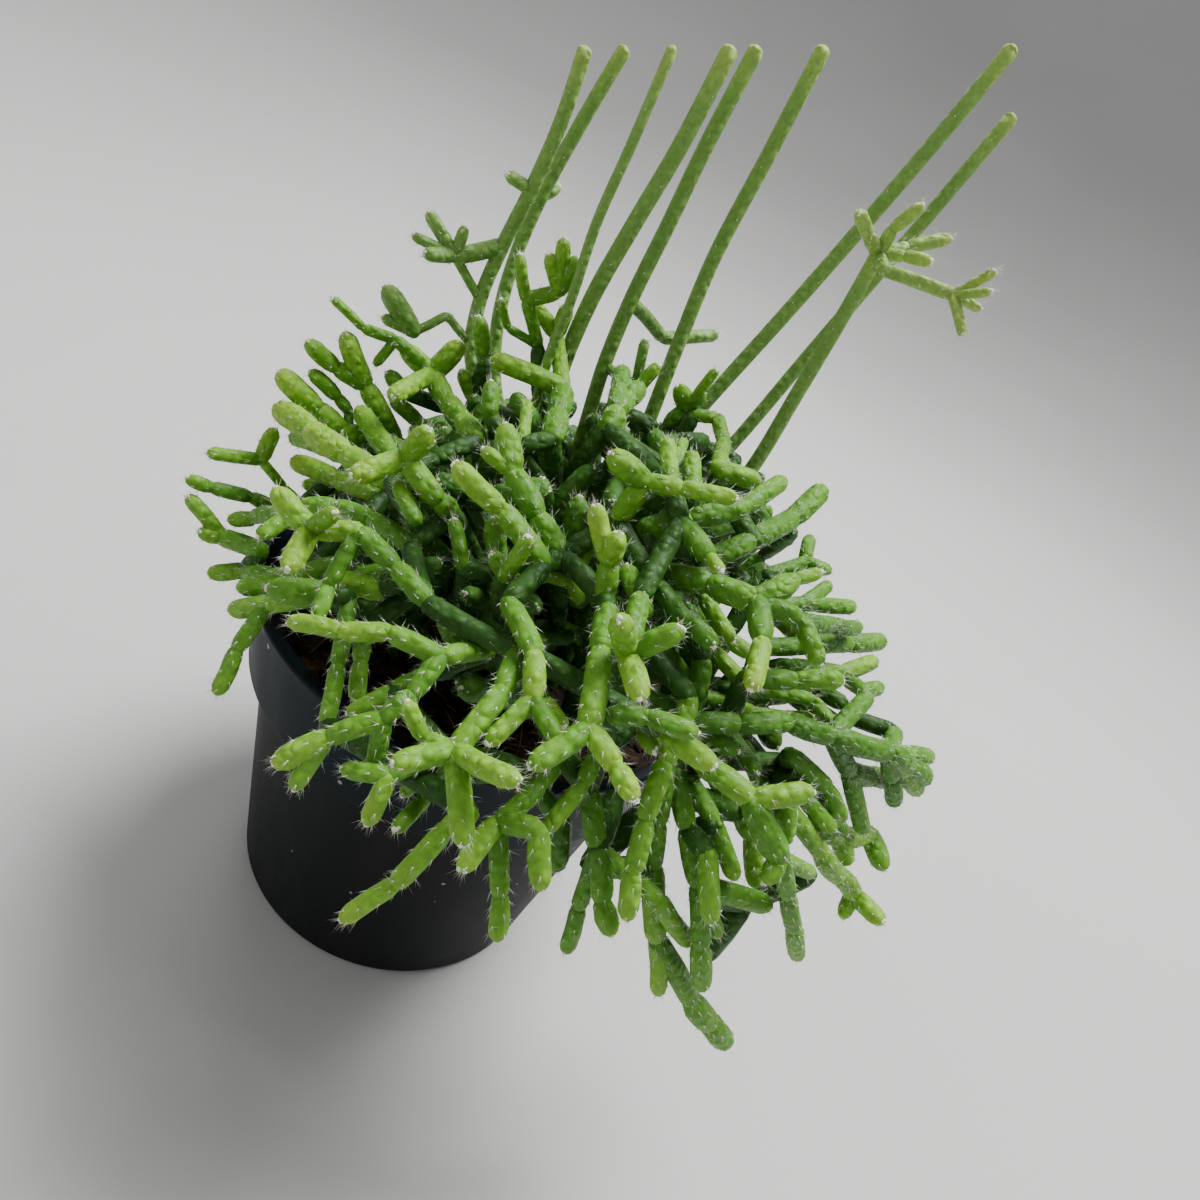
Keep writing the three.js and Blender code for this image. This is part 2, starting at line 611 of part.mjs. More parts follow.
// Visits each pair of pieces that don't share a joint and may lie closer than the clearance.
function forEachNearPair(visit) {
  const { pieces } = plant;
  const middles = pieces.map((piece) => between(...endsOf(piece), 0.5));
  const halves = pieces.map((piece) => size(difference(...endsOf(piece))) / 2);
  for (let i = 0; i < pieces.length; i += 1) {
    for (let j = i + 1; j < pieces.length; j += 1) {
      const [one, two] = [pieces[i], pieces[j]];
      const limit = halves[i] + halves[j] + one.radius + two.radius + CLEAR;
      if (size(difference(middles[i], middles[j])) > limit || touching(one, two)) continue;
      const [a, b] = endsOf(one);
      const [c, d] = endsOf(two);
      const [s, t] = nearestShares(a, b, c, d);
      const apart = difference(between(a, b, s), between(c, d, t));
      visit(one, two, s, t, apart, one.radius + two.radius + CLEAR - size(apart));
    }
  }
}

// Eases the pieces apart, a little in each round, until they stand clear of each other and of the pot.
function easeApart() {
  for (let round = 0; round < EASE_ROUNDS; round += 1) {
    const moves = plant.joints.map(() => ({ shift: [0, 0, 0], count: 0 }));
    const push = (index, shift, weight) => {
      if (plant.joints[index].held) return;
      moves[index].shift = sum(moves[index].shift, scaled(shift, weight));
      moves[index].count += weight;
    };
    forEachNearPair((one, two, s, t, apart, missing) => {
      const gap = size(apart);
      if (missing <= 0 || gap < TINY) return;
      const share = isHeld(one) || isHeld(two) ? 1 : 0.5;
      const away = scaled(apart, (missing * share) / gap);
      push(one.first, away, 1 - s);
      push(one.last, away, s);
      push(two.first, scaled(away, -1), 1 - t);
      push(two.last, scaled(away, -1), t);
    });
    for (const piece of plant.pieces.filter((one) => !isHeld(one))) {
      for (const share of POT_TESTS) {
        const shift = outOfPot(between(...endsOf(piece), share), piece.radius);
        if (size(shift) === 0) continue;
        push(piece.first, shift, 1 - share);
        push(piece.last, shift, share);
      }
    }
    plant.joints.forEach((joint, index) => {
      const { shift, count } = moves[index];
      if (count === 0) return;
      joint.place = sum(joint.place, easedShift(joint, scaled(shift, 1 / Math.max(count, 1))));
    });
  }
}

// A joint that was read in the picture moves freely along its line of sight and less across it.
function easedShift(joint, shift) {
  if (!joint.ray) return shift;
  const along = scaled(joint.ray, dot(joint.ray, shift));
  return sum(along, scaled(difference(shift, along), SIDE_EASE));
}

// Where two sprays still lie too close, the thicker piece gets thinner, so that every gap holds.
function thinCrowded() {
  forEachNearPair((one, two, s, t, apart, missing) => {
    const excess = missing - THIN_SLACK;
    if (excess <= 0 || bodyOf(one) === bodyOf(two)) return;
    const wider = one.radius > two.radius ? one : two;
    wider.radius = Math.max(THINNEST, wider.radius - excess);
  });
}

function insideOutline([x, y]) {
  let inside = false;
  MOUND_OUTLINE.forEach(([x1, y1], index) => {
    const [x2, y2] = MOUND_OUTLINE[(index + 1) % MOUND_OUTLINE.length];
    if (y1 > y !== y2 > y && x < x1 + ((y - y1) * (x2 - x1)) / (y2 - y1)) inside = !inside;
  });
  return inside;
}

// Adds branchlets where the mound is barest: of several that are drawn, the one with the most room.
function fillMound(sprays) {
  const random = seededRandom(FILL_SEED);
  const pick = ([low, high]) => low + (high - low) * random();
  const bases = sprays.flatMap(({ body }) => freeJoints(body));
  for (let added = 0; added < FILL_COUNT; added += 1) {
    let best = null;
    for (let draw = 0; draw < FILL_DRAWS; draw += 1) {
      const base = bases[Math.floor(random() * bases.length)];
      const length = pick(FILL_LENGTH);
      const radius = pick(FILL_RADIUS);
      const jitter = [random() - 0.5, random() - 0.5, random() - 0.5];
      const { place } = plant.joints[base];
      const out = unit(inMoundUnits(difference(place, MOUND_MIDDLE)));
      const way = unit(sum(sum(out, [0, 0, FILL_LIFT]), scaled(jitter, 2 * FILL_SPREAD)));
      const tip = sum(place, scaled(way, length));
      const room = inFillZone(tip) ? roomFor(base, tip, radius) : 0;
      if (room > (best?.room ?? 0)) best = { base, tip, radius, room };
    }
    if (!best) continue;
    const joint = addJoint(best.tip, { body: plant.joints[best.base].body });
    addPiece(best.base, joint, best.radius, 'branchlet');
    bases.push(joint);
  }
}

// The added branchlets keep inside the mound, and well inside where it faces the viewer.
function inFillZone(tip) {
  const offset = inMoundUnits(difference(tip, MOUND_MIDDLE));
  const facing = dot(offset, inMoundUnits(difference(VIEW_FROM, MOUND_MIDDLE)));
  const limit = facing > FILL_FACING ? FILL_NEAR_LEVEL : FILL_FAR_LEVEL;
  return size(offset) > FILL_LOW_LEVEL && size(offset) < limit && insideOutline(pictureOf(tip));
}

function distanceTo(place, start, end) {
  const span = difference(end, start);
  const share = dot(difference(place, start), span) / dot(span, span);
  return size(difference(place, between(start, end, Math.min(Math.max(share, 0), 1))));
}

// How far a new branchlet's tip stands from its nearest neighbour, or 0 where the branchlet has no room.
function roomFor(base, tip, radius) {
  const start = plant.joints[base].place;
  const inPot = (share) => size(outOfPot(between(start, tip, share), radius)) > 0;
  if (POT_TESTS.some((share) => share > 0 && inPot(share))) return 0;
  let room = Infinity;
  for (const piece of plant.pieces) {
    const [c, d] = endsOf(piece);
    const near = piece.first === base || piece.last === base;
    const from = near ? between(start, tip, FILL_FREE_SHARE) : start;
    const [s, t] = nearestShares(from, tip, c, d);
    const gap = size(difference(between(from, tip, s), between(c, d, t)));
    if (gap <= radius + piece.radius + CLEAR) return 0;
    if (!near) room = Math.min(room, distanceTo(tip, c, d));
  }
  return room;
}

// A geometry with its shared corners merged.
function sewn(geometry) {
  geometry.deleteAttribute('normal');
  geometry.deleteAttribute('uv');
  return mergeVertices(geometry, 1e-4);
}

// A closed solid from a sewn geometry, with its flat triangles left out.
function solidOf(geometry) {
  const corners = geometry.index.array;
  const triVerts = [];
  for (let i = 0; i < corners.length; i += 3) {
    const [a, b, c] = [corners[i], corners[i + 1], corners[i + 2]];
    if (a !== b && b !== c && c !== a) triVerts.push(a, b, c);
  }
  return new wasm.Manifold(new wasm.Mesh({
    numProp: 3,
    vertProperties: new Float32Array(geometry.attributes.position.array),
    triVerts: new Uint32Array(triVerts),
  }));
}

function geometryOf(solid) {
  const { vertProperties, triVerts } = solid.getMesh();
  const geometry = new THREE.BufferGeometry();
  geometry.setAttribute('position', new THREE.BufferAttribute(new Float32Array(vertProperties), 3));
  geometry.setIndex(new THREE.BufferAttribute(new Uint32Array(triVerts), 1));
  return geometry;
}

// A closed lathe body. The profile is [out, along] pairs, turned round the Y axis.
function turned(profile, sides) {
  const points = profile.map(([out, along]) => new THREE.Vector2(out, along));
  return sewn(new THREE.LatheGeometry(points, sides));
}

// The rings of one piece: [share of its length, share of its radius].
function sectionsOf({ kind }, isLast) {
  if (kind !== 'branchlet') return [[0, 1]];
  return isLast ? TIP_SECTIONS : BRANCHLET_SECTIONS;
}

// The rings of a chain, from its foot to its tip: middle, direction and radius.
function ringsOf(chain, isRooted) {
  const { pieces } = chain;
  const ways = pieces.map((piece) => unit(difference(...[...endsOf(piece)].reverse())));
  const rings = [];
  pieces.forEach((piece, index) => {
    const [from, to] = endsOf(piece);
    const isLast = index === pieces.length - 1;
    for (const [share, wide] of sectionsOf(piece, isLast)) {
      const bends = share === 0 && index > 0;
      const way = bends ? unit(sum(ways[index - 1], ways[index])) : ways[index];
      const start = index === 0 && share === 0 && !isRooted ? -SINK * piece.radius : 0;
      const middle = sum(between(from, to, share), scaled(way, start));
      rings.push({ middle, way, radius: wide * piece.radius });
    }
  });
  const last = pieces[pieces.length - 1];
  const [, end] = endsOf(last);
  const way = ways[ways.length - 1];
  if (last.kind !== 'branchlet') rings.push({ middle: end, way, radius: STEM_END * last.radius });
  const tip = { middle: sum(end, scaled(way, TIP_REACH * last.radius)), way, radius: 0 };
  return [{ ...rings[0], radius: 0 }, ...rings, tip];
}

// A lathe body whose rings are moved to the rings of a chain.
function chainSolid(chain, isRooted) {
  const rings = ringsOf(chain, isRooted);
  const sides = chain.pieces.some(({ kind }) => kind === 'stem') ? STEM_SIDES : BRANCHLET_SIDES;
  const body = turned(rings.map(({ radius }, index) => [radius, index]), sides);
  let side = Math.abs(rings[0].way[2]) < STEEP ? [0, 0, 1] : [1, 0, 0];
  const frames = rings.map(({ middle, way }) => {
    side = unit(difference(side, scaled(way, dot(side, way))));
    return { middle, side, other: cross(side, way) };
  });
  const { position } = body.attributes;
  for (let index = 0; index < position.count; index += 1) {
    const { middle, side: across, other } = frames[Math.round(position.getY(index))];
    const offset = sum(scaled(across, position.getX(index)), scaled(other, position.getZ(index)));
    position.setXYZ(index, ...sum(middle, offset));
  }
  return solidOf(body);
}

function bodySolid(body) {
  const chains = plant.chains.filter(({ pieces }) => bodyOf(pieces[0]) === body);
  const solids = chains.map((chain) => chainSolid(chain, chain.pieces[0].kind === 'root'));
  return solids.reduce((whole, solid) => whole.add(solid));
}

function potProfile() {
  const bandBottom = POT_HEIGHT - BAND_HEIGHT;
  return [
    [0, 0],
    [BASE_RADIUS - BASE_EDGE / 2, 0],
    [BASE_RADIUS, BASE_EDGE],
    [BODY_TOP_RADIUS, bandBottom],
    [BAND_BOTTOM_RADIUS, bandBottom + LEDGE_RISE],
    [LIP_RADIUS, POT_HEIGHT - LIP_EDGE],
    [LIP_RADIUS - LIP_EDGE, POT_HEIGHT],
    [LIP_RADIUS - LIP_WIDTH, POT_HEIGHT],
    [LIP_RADIUS - LIP_WIDTH - LEDGE_RISE, POT_HEIGHT - LIP_DROP],
    [BAND_BOTTOM_RADIUS - BAND_WALL, bandBottom + BAND_STEP],
    [BODY_TOP_RADIUS - WALL, bandBottom],
    [BASE_RADIUS - WALL, FLOOR],
    [0, FLOOR],
  ];
}

function makePot() {
  const shell = turned(potProfile(), POT_SIDES);
  shell.rotateX(Math.PI / 2);
  let pot = solidOf(shell);
  for (let index = 0; index < DRAIN_HOLES; index += 1) {
    const turn = (2 * Math.PI * index) / DRAIN_HOLES;
    const drill = sewn(new THREE.CylinderGeometry(DRAIN_RADIUS, DRAIN_RADIUS, 4 * FLOOR, DRAIN_SIDES));
    drill.rotateX(Math.PI / 2);
    drill.translate(DRAIN_CIRCLE * Math.cos(turn), DRAIN_CIRCLE * Math.sin(turn), FLOOR / 2);
    pot = pot.subtract(solidOf(drill));
  }
  return geometryOf(pot);
}

function soilHeight(x, y) {
  const waves = SOIL_WAVES.map(([alongX, alongY, phase, share]) => (
    share * Math.sin(alongX * x + alongY * y + phase)
  ));
  return SOIL_TOP + SOIL_RELIEF * waves.reduce((total, wave) => total + wave);
}

// The soil's radius at its top. Its side follows the inside of the pot's band, SOIL_INSET away from it.
function soilTopRadius() {
  const low = POT_HEIGHT - BAND_HEIGHT + BAND_STEP;
  const lowRadius = BAND_BOTTOM_RADIUS - BAND_WALL;
  const highRadius = LIP_RADIUS - LIP_WIDTH - LEDGE_RISE;
  const rise = (SOIL_TOP - low) / (POT_HEIGHT - LIP_DROP - low);
  return lowRadius + rise * (highRadius - lowRadius) - SOIL_INSET;
}

function soilProfile() {
  const bandBottom = POT_HEIGHT - BAND_HEIGHT;
  const rings = Array.from({ length: SOIL_RINGS }, (_, index) => (
    [soilTopRadius() * (1 - index / SOIL_RINGS), SOIL_TOP]
  ));
  return [
    [0, FLOOR + GAP],
    [BASE_RADIUS - WALL - SOIL_INSET, FLOOR + GAP],
    [BODY_TOP_RADIUS - WALL - SOIL_INSET, bandBottom],
    [BAND_BOTTOM_RADIUS - BAND_WALL - SOIL_INSET, bandBottom + BAND_STEP],
    ...rings,
    [0, SOIL_TOP],
  ];
}

function makeSoil() {
  const lump = turned(soilProfile(), POT_SIDES);
  lump.rotateX(Math.PI / 2);
  const { position } = lump.attributes;
  for (let index = 0; index < position.count; index += 1) {
    const [x, y] = [position.getX(index), position.getY(index)];
    const onTop = position.getZ(index) > SOIL_TOP - GAP;
    const isRim = Math.hypot(x, y) > soilTopRadius() - GAP;
    if (onTop && !isRim) position.setZ(index, soilHeight(x, y));
  }
  let soil = solidOf(lump);
  for (const piece of plant.pieces.filter(({ kind }) => kind === 'root')) {
    const [x, y, foot] = plant.joints[piece.first].place;
    const wide = (piece.radius + GAP) / Math.cos(Math.PI / HOLE_SIDES);
    const drill = sewn(new THREE.CylinderGeometry(wide, wide, 2 * HOLE_DEPTH, HOLE_SIDES));
    drill.rotateX(Math.PI / 2);
    drill.translate(x, y, foot - GAP + HOLE_DEPTH);
    soil = soil.subtract(solidOf(drill));
  }
  return geometryOf(soil);
}

// A flake of bark lying on the soil, thinner at its ends.
function makeBark() {
  const [length, width, thick] = BARK_SIZE;
  const flake = sewn(new THREE.BoxGeometry(length, width, thick, 2, 1, 1));
  const { position } = flake.attributes;
  for (let index = 0; index < position.count; index += 1) {
    if (Math.abs(position.getX(index)) < length / 4) continue;
    position.setY(index, position.getY(index) * BARK_TAPER);
    if (position.getZ(index) > 0) position.setZ(index, thick * BARK_END);
  }
  flake.rotateZ(BARK_TURN);
  flake.translate(...BARK_PLACE, SOIL_TOP + GAP + thick / 2);
  return geometryOf(solidOf(flake));
}

function growPlant() {
  const slots = rootSlots();
  growLongStems(slots);
  const sprays = growHubs(slots);
  for (const row of MOUND_SHOOTS) growShoot(row, placeAtLevel, {});
  joinLooseShoots(sprays);
  easeApart();
  thinCrowded();
  fillMound(sprays);
}

function named(name, geometry, look) {
  const material = new THREE.MeshStandardMaterial({ ...MATERIALS[look], metalness: 0 });
  const mesh = new THREE.Mesh(geometry, material);
  mesh.name = name;
  return mesh;
}

growPlant();
const cactus = new THREE.Group();
cactus.add(named('pot', makePot(), 'pot'));
cactus.add(named('soil', makeSoil(), 'soil'));
cactus.add(named('bark', makeBark(), 'bark'));
for (const body of new Set(plant.joints.map((joint) => joint.body))) {
  const look = body.startsWith('stem') ? 'stem' : 'spray';
  cactus.add(named(body, geometryOf(bodySolid(body)), look));
}

export default cactus;
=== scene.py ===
# Looks for a potted coral cactus: a black nursery pot of peat, a mound of short jointed branchlets and the
# long thin stems that stand out of it. Sizes are in millimetres unless a name says otherwise, the origin
# is the middle of the pot's base, and the front is -Y.
import math
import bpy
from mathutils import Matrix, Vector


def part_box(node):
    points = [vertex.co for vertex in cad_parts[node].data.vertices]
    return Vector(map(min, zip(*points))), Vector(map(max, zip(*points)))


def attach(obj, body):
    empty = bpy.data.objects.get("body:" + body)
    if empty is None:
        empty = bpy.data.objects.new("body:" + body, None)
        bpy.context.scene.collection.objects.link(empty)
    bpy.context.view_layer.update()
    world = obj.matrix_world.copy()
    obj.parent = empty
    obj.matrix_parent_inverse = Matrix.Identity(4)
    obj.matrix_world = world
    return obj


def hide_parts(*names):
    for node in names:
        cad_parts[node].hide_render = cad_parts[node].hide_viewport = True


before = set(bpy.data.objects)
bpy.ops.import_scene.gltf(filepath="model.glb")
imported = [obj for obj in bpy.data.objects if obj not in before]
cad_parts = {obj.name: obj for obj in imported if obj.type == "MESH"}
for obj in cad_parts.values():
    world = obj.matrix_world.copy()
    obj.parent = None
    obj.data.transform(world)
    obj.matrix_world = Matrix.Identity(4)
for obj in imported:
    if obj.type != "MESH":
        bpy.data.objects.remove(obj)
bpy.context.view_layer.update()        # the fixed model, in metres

from types import SimpleNamespace

import bmesh
import bpy
import numpy as np
from mathutils import Matrix, Vector, noise

MM = 0.001

# Pot
POT_HEIGHT = 95
LIP_RADIUS = 60
LIP_WIDTH = 3
LIP_ROLL = 0.9
BAND_HEIGHT = 25
BAND_BOTTOM_RADIUS = 56.4
BODY_TOP_RADIUS = 53
BASE_RADIUS = 45
BASE_EDGE = 2
WALL = 1.4
BAND_WALL = 2.4
BAND_STEP = 2.4
LEDGE_RISE = 0.6
FLOOR = 2
DRAIN_HOLES = 6
DRAIN_RADIUS = 3.5
DRAIN_CIRCLE = 30
POT_STEPS = 128
DENT_DEPTH = 0.22
DENT_WIDTH = 26
DENT_RISE = 10
DRAIN_SIDES = 24

# Soil
SOIL_TOP = 86.5
SOIL_RELIEF = 1
HOLE_DEPTH = 9
COLLAR_RISE = 3
GAP = 0.35
SOIL_RINGS = 40
SOIL_STEPS = 144
LUMP_HEIGHT = 1.19
LUMP_WIDTH = 6
WAVE_WIDTH = 24
CALM_FROM = 50
CALM_WIDTH = 6
CALM_SHARE = 0.4
CRUMBS = 900
CRUMB_SIZE = (0.5, 1.7)
CRUMB_MARGIN = 1.5
FIBRES = 260
FIBRE_LENGTH = (5, 13)
FIBRE_RADIUS = (0.1, 0.25)
FIBRE_BEND = 0.12
FIBRE_MARGIN = 8
BARK_PLACE = (-42, -3)
BARK_SIZE = (8, 4.5, 1.4)
BARK_TURN = 0.4

# The picture that the joints below were read in is PICTURE_WIDTH points wide and high. It is seen from
# VIEW_FROM, looking down by VIEW_PITCH along +Y, and turned by VIEW_ROLL.
PICTURE_WIDTH = 1200
VIEW_FOCAL = 811
VIEW_FROM = np.array([22.2, -176.4, 211.7])
VIEW_PITCH = math.radians(29.6)
VIEW_ROLL = math.radians(27.4)
SENSOR_WIDTH = 36

# The mound is an egg shape. A joint at level 1 lies on it, on the viewer's side.
MOUND_MIDDLE = np.array([24, -6, 84])
MOUND_RADII = np.array([84, 78, 80])

# Root slots on a spiral over the soil, leaning outward like a fan
CROWN = np.array([6, 2, 88])
SLOTS = 31
SLOT_SPREAD = 41
GOLDEN_TURN = math.radians(137.508)
HUB_REACH = 33
HUB_LEAN = math.radians(78)
TRUNK_RADIUS = 2.3
LINK_RADIUS = 1.9
LINK_LENGTH = 24
LINK_PART = 13
LONGEST = 21
LINK_ARCH = 0.08
LOAD_WEIGHT = 0.008
INWARD_COST = 2
INWARD_STEP = 6

# Clearance between pieces, and how the joints are eased apart until they keep it
CLEAR = 0.4
POT_CLEAR = 0.2
POT_TESTS = (0, 0.25, 0.5, 0.75, 1)
RIM_REACH = 8
EASE_ROUNDS = 160
SIDE_EASE = 0.3
THIN_SLACK = 0.06
THINNEST = 0.8
TINY = 1e-6

# Branchlets that a rule adds where the picture doesn't show any: first those of the solids, and then the
# many more that make the mound dense
FILL_FREE_SHARE = 0.6
FILL_REACH = 8
FILL_FACING = 0.25
FIRST_FILL = SimpleNamespace(
    seed=20641, draws=150, count=62, length=(12, 18), radius=(2.2, 2.8), spread=0.75,
    lift=0.4, low_level=0.5, near_level=0.9, far_level=1.02, tone=(0.2, 0.5))
# The dense fill's low tones make the inner branchlets dark green: partly old growth, partly painted shade
# inside the mound.
DENSE_FILL = SimpleNamespace(
    seed=4177, draws=60, count=520, length=(9, 16), radius=(1.8, 2.5), spread=1.3,
    lift=0.1, low_level=0.3, near_level=0.96, far_level=0.97, tone=(0.05, 0.4))

# A plain repeatable draw: each state is the last one times RANDOM_FACTOR, within RANDOM_RANGE
RANDOM_FACTOR = 16807
RANDOM_RANGE = 2147483647

# Long stems: thickness, then each joint's place in the picture and its depth along +Y in mm
LONG_STEMS = {
    "stem_1": (3.7, [[585, 50, 14], [561, 122, 14], [531, 190, 14], [503, 245, 14],
        [480, 300, 13], [471, 345, 11], [482, 420, 9]]),
    "stem_2": (3.7, [[624, 50, 25], [580, 125, 25], [542, 195, 24], [516, 255, 23],
        [500, 310, 21], [494, 370, 19], [503, 440, 17]]),
    "stem_3": (2.5, [[672, 50, 0], [630, 148, 0], [597, 222, 0], [571, 300, 0],
        [546, 365, 0], [528, 430, 0]]),
    "stem_4": (4.1, [[730, 50, 12], [678, 150, 12], [634, 224, 12], [590, 302, 11],
        [560, 375, 10], [545, 440, 9]]),
    "stem_5": (3.9, [[756, 50, 20], [704, 150, 20], [668, 225, 20], [630, 302, 19],
        [604, 365, 18], [584, 430, 17]]),
    "stem_6": (3.9, [[823, 50, 30], [770, 152, 30], [712, 262, 29], [676, 350, 27],
        [645, 430, 24]]),
    "stem_7": (3.9, [[1011, 50, 38], [955, 118, 37], [880, 206, 36], [780, 320, 33],
        [706, 402, 29], [660, 455, 26]]),
    "stem_8": (3.7, [[1011, 118, 50], [930, 214, 48], [880, 272, 46], [812, 351, 43],
        [731, 446, 38], [690, 490, 34]]),
    "stem_9": (3.9, [[878, 254, 24], [858, 290, 24], [836, 328, 24], [798, 392, 23],
        [752, 468, 21], [720, 510, 18]]),
}
LONG_STEM_ROOTS = {
    "stem_1": (-20, 4), "stem_2": (-12, 18), "stem_3": (-14, -10), "stem_4": (-3, 0), "stem_5": (2, 14),
    "stem_6": (12, 26), "stem_7": (22, 14), "stem_8": (30, 26), "stem_9": (32, 4),
}

# Shoots on the long stems: width in the picture, depth along +Y at the first and at the last joint, then
# the joints' places in the picture. A shoot that starts at another shoot's joint grows from it.
STEM_SHOOTS = {
    "stem_1": [
        [17, 14, 8, 503, 245, 455, 256],
        [10, 13, 8, 480, 300, 455, 256],
        [14, 8, 6, 455, 256, 429, 213],
        [11, 8, 3, 455, 256, 414, 236],
        [15, 8, 2, 455, 256, 426, 254],
        [13, 14, 10, 531, 190, 508, 175],
        [9, 11, 4, 471, 345, 447, 315, 414, 332],
        [22, 4, 0, 414, 332, 387, 289],
    ],
    "stem_2": [
        [13, 24, 27, 542, 195, 558, 187],
    ],
    "stem_5": [
        [13, 19, 44, 630, 302, 662, 338, 716, 335],
        [11, 18, 14, 604, 365, 636, 385, 645, 341],
    ],
    "stem_9": [
        [14, 24, 14, 878, 254, 868, 236, 859, 213],
        [14, 24, 20, 878, 254, 893, 228, 921, 206],
        [14, 24, 30, 878, 254, 908, 247, 949, 239],
        [14, 24, 12, 878, 254, 884, 270, 953, 295],
        [10, 12, 10, 953, 295, 994, 272],
        [10, 12, 14, 953, 295, 979, 309],
        [11, 12, 4, 953, 295, 963, 334],
    ],
}
LATER_STEM_SHOOTS = {
    "stem_1": [
        [12, 8, 8, 455, 256, 465, 228],
        [13, 4, 0, 414, 332, 384, 318],
    ],
    "stem_9": [
        [13, 24, 20, 878, 254, 905, 256, 930, 262],
        [10, 12, 6, 953, 295, 990, 292],
    ],
}

# Shoots of the mound: width in the picture, level of the first and of the last joint, then the joints'
# places in the picture. A width may be a pair, for the first and the last piece.
LEFT_SHOOTS = [
    [10, 0.9, 1, 300, 506, 284, 488, 261, 460],
    [14, 1, 1, 261, 460, 209, 453],
    [16, 1, 1, 261, 460, 275, 428],
    [15, 0.9, 1, 290, 512, 250, 497, 211, 488, 188, 480],
    [[20, 18], 0.95, 1.02, 262, 568, 226, 530, 201, 532],
    [16, 1, 1, 226, 530, 190, 496],
    [21, 0.95, 1.02, 412, 546, 370, 518, 335, 507, 300, 508],
    [16, 1, 1.04, 300, 508, 254, 518, 227, 527],
    [22, 1.02, 1.14, 425, 608, 395, 566, 360, 531, 311, 530],
    [25, 1.14, 1.22, 311, 530, 277, 491],
    [25, 1.14, 1.2, 311, 530, 289, 568],
    [18, 1.08, 1.12, 360, 531, 328, 587, 317, 618],
    [18, 0.92, 0.98, 300, 575, 243, 578, 211, 573],
    [21, 0.98, 1.02, 300, 575, 240, 589],
    [28, 1.02, 1.1, 325, 592, 271, 589],
    [21, 0.95, 1.02, 310, 598, 268, 604, 233, 608],
    [17, 1, 1.03, 268, 604, 236, 650, 217, 692],
]
FRONT_SHOOTS = [
    [22, 0.98, 1.1, 500, 640, 443, 650],
    [[22, 19], 1.1, 1.16, 443, 650, 390, 632, 340, 631, 291, 622],
    [22, 1.1, 1.16, 443, 650, 412, 695, 383, 719, 328, 738],
    [26, 1.16, 1.2, 328, 738, 277, 763],
    [20, 1.16, 1.18, 328, 738, 295, 787],
    [18, 0.96, 1.02, 350, 598, 338, 665, 331, 716],
    [19, 0.94, 1.04, 432, 672, 392, 690, 350, 713],
    [25, 1.04, 1.2, 520, 650, 505, 690, 457, 751],
    [26, 1.2, 1.28, 457, 751, 396, 763],
    [25, 1.2, 1.3, 457, 751, 516, 780],
    [26, 1.2, 1.26, 457, 751, 463, 842],
    [20, 1.02, 1.14, 440, 765, 388, 785, 344, 769],
    [21, 1.12, 1.14, 388, 785, 368, 822],
    [18, 1.02, 1.1, 440, 765, 420, 799, 396, 829],
    [[26, 20], 1.06, 1.2, 480, 800, 446, 828, 395, 884, 343, 919],
    [24, 1, 1.14, 505, 608, 532, 658, 533, 699],
    [20, 1.14, 1.18, 533, 699, 487, 741],
    [21, 1.14, 1.18, 533, 699, 557, 737],
    [21, 1, 1.12, 560, 755, 540, 785, 498, 822],
    [24, 1.12, 1.2, 498, 822, 463, 868],
    [24, 1.12, 1.18, 498, 822, 539, 830, 541, 887],
    [21, 1.12, 1.16, 498, 822, 500, 897, 497, 938],
    [28, 1.04, 1.2, 608, 610, 603, 650, 589, 729],
    [26, 1.2, 1.26, 589, 729, 533, 765],
    [25, 1.2, 1.28, 589, 729, 616, 768, 633, 797],
    [24, 1.04, 1.14, 640, 600, 625, 655],
    [28, 1.14, 1.26, 625, 655, 620, 621],
    [27, 1.14, 1.24, 625, 655, 640, 696],
    [25, 1.14, 1.22, 625, 655, 680, 631],
    [26, 1.08, 1.14, 665, 730, 712, 764],
]
HANGING_SHOOTS = [
    [24, 0.96, 1.06, 588, 790, 597, 848, 602, 902, 611, 932],
    [18, 0.98, 1, 597, 848, 578, 908, 566, 950],
    [19, 0.98, 0.98, 597, 848, 632, 878, 657, 896, 689, 942],
    [22, 1, 1.08, 690, 700, 668, 762, 645, 820, 632, 873, 627, 917],
    [20, 0.94, 0.98, 668, 762, 663, 822, 656, 872],
    [[24, 18], 0.98, 1, 656, 872, 661, 943, 658, 992],
    [[22, 24], 1, 1.02, 661, 943, 692, 1001, 726, 1041],
    [22, 0.98, 1.03, 682, 770, 684, 830, 698, 885, 697, 945, 700, 985],
    [22, 0.97, 1, 698, 885, 768, 903],
    [19, 0.96, 1.02, 690, 770, 715, 823, 735, 877],
    [20, 0.9, 0.97, 712, 755, 739, 812, 752, 838, 757, 888],
    [26, 0.98, 1.08, 690, 762, 752, 800],
    [24, 1.08, 1.12, 752, 800, 810, 792],
    [[30, 22], 1.08, 1.1, 752, 800, 780, 858, 767, 881],
    [16, 1.05, 1.02, 780, 858, 811, 873],
    [18, 1.05, 1.02, 780, 858, 793, 929, 797, 955],
    [20, 0.95, 1, 775, 800, 818, 853, 853, 894, 881, 921],
    [20, 0.94, 0.98, 785, 818, 845, 836, 870, 832],
    [22, 0.98, 1, 870, 832, 883, 867],
]
